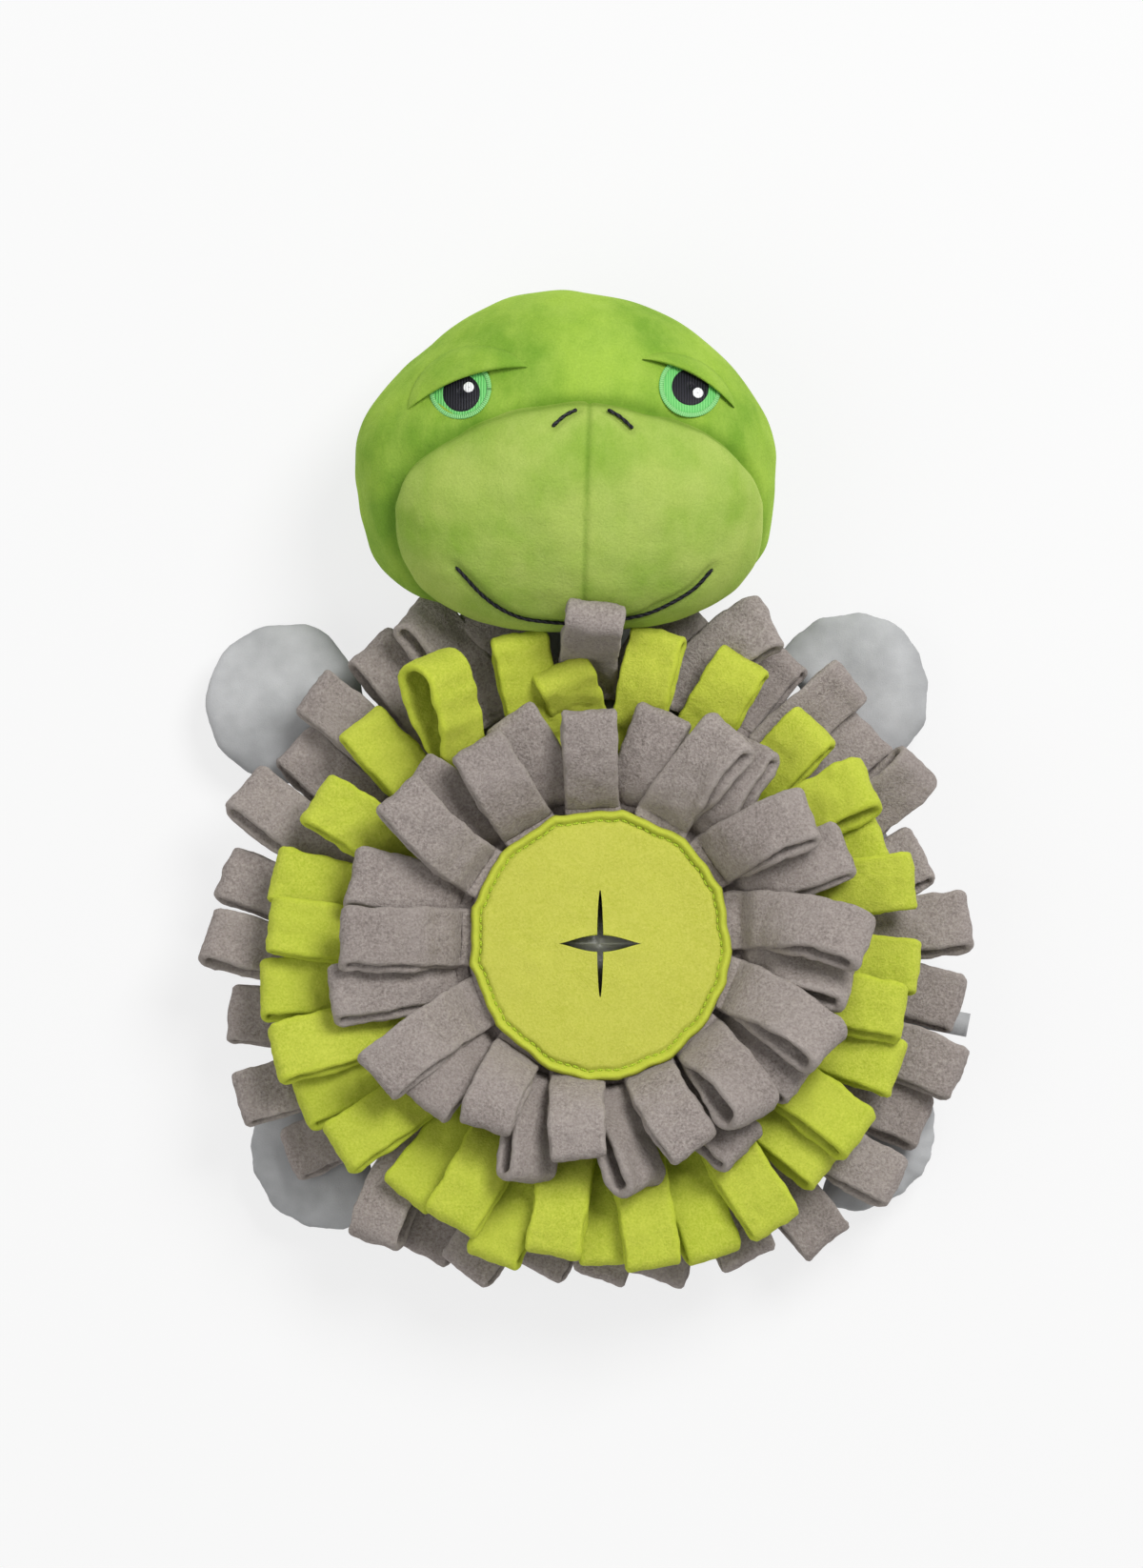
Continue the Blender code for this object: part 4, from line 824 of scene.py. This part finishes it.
def make_head():
    """The crown and back of the head, drawn in at its seam, at the muzzle and round the eyes."""
    points, outward, faces = round_form(HEAD_CENTRE, HEAD_HALF[3], head_outline, HEAD_FULLNESS)
    seam = bell(points[:, 2] - HEAD_SEAM, 0.0012)
    crease = bell(muzzle_depth(points), 0.0022)
    turns = np.arctan2(outward[:, 1], outward[:, 0])
    pucker = 1.0 + 0.35 * np.sin(turns * 43.0) * bell(points[:, 2] - HEAD_SEAM, 0.005)
    relief = -0.0009 * seam * pucker - 0.0011 * crease
    relief += 0.0006 * ripple(points, 0.045, 5) + 0.00018 * ripple(points, 0.013, 6)
    for middle in (eye[0] for eye in EYES.values()):
        socket = np.hypot(points[:, 0] - middle[0], (points[:, 1] - middle[1] + 0.002) * 1.2)
        relief -= 0.0007 * bell(socket, 0.0145) * (points[:, 2] > HEAD_CENTRE[2])
    points = points + outward * relief[:, None]
    points[:, 2] = np.maximum(points[:, 2], 0.0002)
    # The seam value is painted shade in the crown's seam and the crease at the muzzle
    head = piece("head_plush", points, faces, CROWN, "head", "head_crown", "head_back", "head_filling",
                 values={"seam": np.maximum(seam, crease)})


def make_muzzle():
    """The muzzle, drawn in at its centre seam, at the crown and under the stitches."""
    points, outward, faces = round_form(MUZZLE_CENTRE, MUZZLE_HALF[3], muzzle_outline, MUZZLE_FULLNESS,
                                        MUZZLE_SLOPE)
    (low_x, low_y), (high_x, high_y) = MUZZLE_SEAM
    seam_x = low_x + (high_x - low_x) * (points[:, 1] - low_y) / (high_y - low_y)
    centre_seam = bell(points[:, 0] - seam_x, 0.0008)
    crease = bell(head_depth(points), 0.002)
    dent = bell(line_distance(points, on_muzzle(spline(MOUTH, 60))), 0.0021)
    for places in NOSTRILS.values():
        dent = np.maximum(dent, 0.9 * bell(line_distance(points, on_muzzle(places)), 0.0018))
    relief = -0.0005 * centre_seam - 0.0008 * crease - 0.0012 * dent
    relief += 0.0005 * ripple(points, 0.035, 15) + 0.00016 * ripple(points, 0.011, 16)
    points = points + outward * relief[:, None]
    # The seam value is painted shade in the centre seam, the crease at the crown and the dents under the
    # stitches
    muzzle = piece("muzzle_plush", points, faces, MUZZLE, "head", "muzzle_left", "muzzle_right",
                   values={"seam": np.maximum(np.maximum(centre_seam * 0.8, crease), dent * 0.35)})


def thread_tube(name, line, radius, lift, material, node):
    """A stitched thread along points of a surface, with pinched joins between stitches."""
    sides = 8
    line = np.asarray(line)
    heading = unit(np.gradient(line, axis=0))
    across = unit(np.cross(heading, (0.0, 0.0, 1.0)))
    up = np.cross(across, heading)
    steps = np.linalg.norm(np.diff(line, axis=0), axis=1)
    travel = np.concatenate(([0.0], np.cumsum(steps)))
    thick = radius * (0.78 + 0.22 * np.abs(np.sin(travel / 0.0028 * math.pi)))
    thick[0] = thick[-1] = radius * 0.3
    angles = circle(sides)
    offsets = across[:, None] * np.cos(angles)[:, None] + up[:, None] * np.sin(angles)[:, None] * 0.8
    points = (line + up * lift)[:, None] + offsets * thick[:, None, None]
    turns = (travel[:, None] / 0.0007 * 2.0 + angles * 2.0).ravel()
    return piece(name, points.reshape(-1, 3), tube_faces(len(line), sides), material, "head", node,
                 values={"thread": turns})


def make_stitches():
    thread_tube("mouth_thread", on_muzzle(spline(MOUTH, 140)), FACE_THREAD, -0.0005, BLACK, "mouth_stitch")
    for title, places in NOSTRILS.items():
        thread_tube("nostril_thread_" + title, on_muzzle(spline(places, 30)), FACE_THREAD, -0.0004, BLACK,
                    "nostril_stitch_" + title)


def over_lid_edge(title, x, y):
    """How far a place lies past the lower edge of an eye's lid."""
    start, end, low_arch = LIDS[title][:3]
    run = (end[0] - start[0], end[1] - start[1])
    length = math.hypot(*run)
    away = (x - start[0], y - start[1])
    t = 2 * (away[0] * run[0] + away[1] * run[1]) / length ** 2 - 1
    return (away[1] * run[0] - away[0] * run[1]) / length - low_arch * (1 - t * t)


def eye_layer(name, node, centre, inner, outer, lift, material, spokes):
    """A ring or disc of satin stitches that follows the head's form and dips under the lid."""
    title = node.split("_")[-1]
    angles = circle(72)
    span = outer - inner
    profile = [(inner, 0.0), (inner + span * 0.06, 0.5), (inner + span * 0.2, 0.85),
               (inner + span * 0.5, 1.0), (inner + span * 0.8, 0.85), (inner + span * 0.94, 0.5),
               (outer, 0.0)]
    if inner < 0.0002:
        profile = [(0.0001, 1.0), (outer * 0.35, 1.0), (outer * 0.7, 0.95), (outer * 0.88, 0.75),
                   (outer * 0.97, 0.4), (outer, 0.0)]
    top = [(r, lift + 0.00045 * h) for r, h in profile]
    under = [(r, lift - 0.0012) for r, h in profile[::-1]]
    points, turns = [], []
    for angle in angles:
        for radius, height in top + under:
            x, y = centre[0] + radius * math.cos(angle), centre[1] + radius * math.sin(angle)
            sink = 0.0022 * float(smooth((over_lid_edge(title, x, y) - 0.0008) / 0.0016))
            points.append((x, y, height - sink + float(head_surface(np.array(x), np.array(y)))))
            across = (x - centre[0]) / 0.0004 * math.tau / 2
            turns.append(angle * spokes if spokes else across)
    piece(name, np.array(points), tube_faces(len(angles), len(top) * 2, True), material, "head", node,
          values={"thread": np.array(turns)})


def make_eyes():
    layers = (("rim", 0, EYE_IRIS - 0.0003, EYE_RIM, -0.0003, MINT, 90),
              ("iris", 0, 0.0001, EYE_IRIS, -0.0006, IRIS, 0),
              ("pupil", 1, 0.0001, EYE_PUPIL, -0.0003, BLACK, 0),
              ("glint", 2, 0.0001, EYE_GLINT, 0.0001, WHITE, 0))
    for title, centres in EYES.items():
        for part, which, *sizes in layers:
            eye_layer("eye_" + part + "_thread_" + title, "eye_" + part + "_" + title, centres[which], *sizes)


# Across a lid, from its lower lip to its fold: share of its width and height over the head
LID_PROFILE = ((1.02, -0.0018), (0.5, -0.0018), (0.06, -0.0018), (0.0, -0.0008), (-0.03, 0.0004),
               (-0.04, 0.0014), (-0.03, 0.0023), (0.01, 0.0030), (0.08, 0.0035), (0.2, 0.0038),
               (0.35, 0.0036), (0.5, 0.0032), (0.65, 0.0026), (0.8, 0.0018), (0.92, 0.0008), (1.0, -0.0004))


def make_eyelid(title, side):
    """A padded fold of the crown's cloth over the upper half of an eye."""
    start, end, low_arch, high_arch = LIDS[title]
    start, end = np.array(start), np.array(end)
    rise = np.array((start[1] - end[1], end[0] - start[0]))
    rise /= np.linalg.norm(rise)
    along = np.sin(np.linspace(-1.0, 1.0, 90) * math.pi / 2) * 0.998
    points = []
    for t in along:
        chord = start + (end - start) * (t + 1.0) / 2
        low = low_arch * (1.0 - t * t)
        high = high_arch * (1.0 - t * t) ** 0.7
        thin = (1.0 - t * t) ** 0.45
        for share, height in LID_PROFILE:
            place = chord + rise * (low + (high - low) * share)
            base = float(head_surface(np.array(place[0]), np.array(place[1])))
            points.append((place[0], place[1], base + height * (thin if height > 0 else 1.0)))
    points = np.array(points)
    points[:, 2] += 0.00022 * ripple(points, 0.008, 31 + side)
    shares = np.array(LID_PROFILE)[:, 0]
    # Painted shade in the crease along the lid's fold
    seam = np.tile(bell(shares - 1.0, 0.08) * 0.8, len(along))
    lid = piece("eyelid_plush_" + title, points, tube_faces(len(along), len(LID_PROFILE)), CROWN, "head",
                "eyelid_" + title, values={"seam": seam})


# Body, neck, flippers and label

def make_body():
    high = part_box("back_panel")[1]
    radius, seam = high.x, high.z
    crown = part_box("front_panel")[1].z
    foot = BODY_FOOT
    profile = [(0.00001, 0.0), (foot * 0.5, 0.0), (foot, 0.0)]
    for share in np.linspace(0.12, 1.0, 12):
        turn = share * math.pi / 2
        profile.append((foot + (radius - foot) * math.sin(turn), seam * (1 - math.cos(turn))))
    for share in (0.985, 0.95, 0.9, 0.84, 0.77, 0.68, 0.58, 0.5, 0.4, 0.3):
        profile.append((radius * share, seam + BODY_CROWN * (1 - share ** 2) ** 0.75))
    hole = BODY_HOLE
    profile += [(hole, crown - 0.002), (hole, seam + 0.002), (0.00001, seam + 0.002)]
    radii, heights = np.array(profile).T
    angles = circle(240)
    points = np.zeros((len(angles), len(profile), 3))
    # near marks the side seam: it draws the cloth in and carries the painted shade there
    near = bell(heights - seam, 0.003) * (radii > 0.08)
    pull = bell(heights - seam, 0.009) * (radii > 0.07)
    puckers = np.sin(61 * angles) + 0.6 * np.sin(83 * angles + 1.0)
    spread = radii[None] - 0.0013 * near[None] + 0.0004 * puckers[:, None] * pull[None]
    points[..., 0] = spread * np.cos(angles)[:, None]
    points[..., 1] = spread * np.sin(angles)[:, None]
    points[..., 2] = heights[None]
    shape = points.reshape(-1, 3)
    values = {"seam": np.tile(near, len(angles))}
    body = piece("body_cushion", shape, tube_faces(len(angles), len(profile), True), PALE, "body",
                 "front_panel", "back_panel", "body_filling", values=values)


def make_neck():
    low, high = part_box("neck")
    middle = ((low.x + high.x) / 2, (low.z + high.z) / 2)
    half_x, half_z = (high.x - low.x) / 2, (high.z - low.z) / 2
    ys = np.linspace(low.y - 0.002, high.y + 0.006, 30)
    angles = circle(60)
    points = []
    for y in ys:
        swell = 1.0 - 0.06 * math.sin((y - low.y) / (high.y - low.y) * math.pi)
        for angle in angles:
            fold = 1.0 + 0.012 * math.sin(angle * 14 + y * 300)
            points.append((middle[0] + half_x * swell * fold * math.cos(angle), y,
                           middle[1] + half_z * swell * fold * math.sin(angle)))
    points = np.array(points)
    neck = piece("neck_sleeve", points, tube_faces(len(ys), len(angles)), PALE, None, "neck",
                 values={"seam": np.zeros(len(points))})
    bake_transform(neck)


def make_flipper(title, number):
    """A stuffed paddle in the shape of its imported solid, softened and puckered at its seam."""
    skin = frame["nodes"]["flipper_skin_" + title]
    hinge = np.array(pivot_of("flipper_" + title))
    low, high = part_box("flipper_skin_" + title)
    corners = np.array([v.co for v in skin.data.vertices])
    level = np.abs(corners[:, 2] - hinge[2]) < 0.0004
    away = corners[level][:, :2] - hinge[:2]
    bearings, reaches = np.arctan2(away[:, 1], away[:, 0]), np.hypot(away[:, 0], away[:, 1])
    outside = reaches > 0.0112
    order = np.argsort(bearings[outside])
    bearings, reaches = bearings[outside][order], reaches[outside][order]
    fine = np.linspace(-math.pi, math.pi, 144, endpoint=False)
    edge = np.interp(fine, bearings, reaches, period=math.tau)
    for step in range(3):
        edge = (np.roll(edge, 1) + 2 * edge + np.roll(edge, -1)) / 4
    half = (high.z - low.z) / 2
    rings = 22
    points, seams = [], []
    for index in range(2 * rings):
        turn = -math.pi / 2 + math.pi * (index + 0.5) / (2 * rings)
        share = math.cos(turn)
        bulge = math.copysign(abs(math.sin(turn)) ** 0.9, turn)
        for angle, reach in zip(fine, edge):
            points.append((hinge[0] + reach * share * math.cos(angle),
                           hinge[1] + reach * share * math.sin(angle), hinge[2] + half * bulge))
            seams.append(math.exp(-(turn / 0.10) ** 2))
    points = np.array(points)
    seams = np.array(seams)
    outward = points - hinge
    length = np.linalg.norm(outward, axis=1, keepdims=True)
    outward = outward / np.maximum(length, 0.004)
    turns = np.arctan2(outward[:, 1], outward[:, 0])
    relief = 0.0004 * ripple(points, 0.022, 50 + number) - 0.0004 * seams * (1 + 0.4 * np.sin(57 * turns))
    points = points + outward * relief[:, None]
    # Painted shade in the puckered seam round the paddle's rim
    flipper = piece("flipper_plush_" + title, points, tube_faces(2 * rings, len(fine)), PALE,
                    "flipper_" + title, "flipper_skin_" + title, "flipper_filling_" + title,
                    values={"seam": seams * 0.6})


def make_label():
    """The blank woven tab in the side seam, folded over at its end."""
    node = frame["nodes"]["side_label"]
    corners = np.array([v.co for v in node.data.vertices])
    order = np.argsort(np.hypot(corners[:, 0], corners[:, 1]))
    start = corners[order[:4]].mean(0)
    end = corners[order[-4:]].mean(0)
    along = end - start
    across = np.array((-along[1], along[0], 0.0))
    across *= LABEL_HALF_WIDTH / np.linalg.norm(across)
    half = np.array((0.0, 0.0, LABEL_HALF_THICKNESS))
    points = []
    steps = np.linspace(0.0, 1.0, 24)
    for t in steps:
        lift = np.array((0.0, 0.0, 0.0006 * math.sin(t * 3.0)))
        middle = start + along * t + lift
        thick = half * (1.0 if t < 0.96 else 1.5)
        points += [middle - across + thick, middle + across + thick, middle + across - thick,
                   middle - across - thick]
    piece("label_tab", np.array(points), tube_faces(len(steps), 4), PALE, "body", "side_label",
          values={"seam": np.zeros(4 * len(steps))})


# Floor, light and camera

def camera_mix(tree, share, usual, seen, output):
    """Shows the camera that share of the seen shader in place of the usual one."""
    rays = tree.nodes.new("ShaderNodeLightPath")
    part = tree.nodes.new("ShaderNodeMath")
    part.operation = "MULTIPLY"
    part.inputs[1].default_value = share
    mix = tree.nodes.new("ShaderNodeMixShader")
    tree.links.new(rays.outputs["Is Camera Ray"], part.inputs[0])
    tree.links.new(part.outputs[0], mix.inputs[0])
    tree.links.new(usual.outputs[0], mix.inputs[1])
    tree.links.new(seen.outputs[0], mix.inputs[2])
    tree.links.new(mix.outputs[0], tree.nodes[output].inputs["Surface"])


def make_stage():
    """The floor and the world: both look pale to the camera, and the floor keeps the shadows."""
    data = bpy.data.meshes.new("floor")
    size, level = FLOOR_HALF_SIZE, FLOOR_HEIGHT
    data.from_pydata([(-size, -size, level), (size, -size, level), (size, size, level),
                      (-size, size, level)], [], [(0, 1, 2, 3)])
    floor = add_object("floor", data)
    material = bpy.data.materials.new("pale_floor")
    material.use_nodes = True
    tree = material.node_tree
    shader = tree.nodes["Principled BSDF"]
    shader.inputs["Base Color"].default_value = colour(236, 236, 236)
    shader.inputs["Roughness"].default_value = 0.9
    glow = tree.nodes.new("ShaderNodeEmission")
    glow.inputs["Strength"].default_value = FLOOR_GLOW
    camera_mix(tree, FLOOR_GLOW_SHARE, shader, glow, "Material Output")
    data.materials.append(material)

    world = bpy.data.worlds.new("soft_room")
    bpy.context.scene.world = world
    world.use_nodes = True
    tree = world.node_tree
    sky = tree.nodes["Background"]
    sky.inputs["Color"].default_value = (1.0, 1.0, 1.0, 1.0)
    sky.inputs["Strength"].default_value = SKY_STRENGTH
    white = tree.nodes.new("ShaderNodeBackground")
    white.inputs["Strength"].default_value = FLOOR_GLOW
    camera_mix(tree, 1.0, sky, white, "World Output")


def make_lamp(name, place, size, power):
    lamp = bpy.data.lights.new(name, "AREA")
    lamp.shape = "DISK"
    lamp.size = size
    lamp.energy = power
    item = add_object(name, lamp)
    item.location = place
    item.rotation_euler = (Vector(LAMP_TARGET) - Vector(place)).to_track_quat("-Z", "Y").to_euler()


def make_camera():
    camera = bpy.data.cameras.new("camera")
    camera.sensor_width = SENSOR
    camera.lens = SENSOR * VIEW_DISTANCE / VIEW_HEIGHT
    camera.clip_end = 100.0
    item = add_object("camera", camera)
    item.location = (*VIEW_CENTRE, FOCUS_HEIGHT + VIEW_DISTANCE)
    bpy.context.scene.camera = item


make_camera()
make_stage()
for title, (place, size, power) in LAMPS.items():
    make_lamp(title, place, size, power)
make_body()
make_fringe()
make_cover()
for number, title in enumerate(("front_right", "front_left", "rear_left", "rear_right")):
    make_flap(title, number)
make_cover_thread()
make_lining()
make_head()
make_muzzle()
make_stitches()
make_eyes()
make_eyelid("left", -1)
make_eyelid("right", 1)
make_neck()
for number, title in enumerate(("front_left", "front_right", "rear_left", "rear_right")):
    make_flipper(title, number)
make_label()

bpy.context.scene.view_settings.view_transform = "Standard"
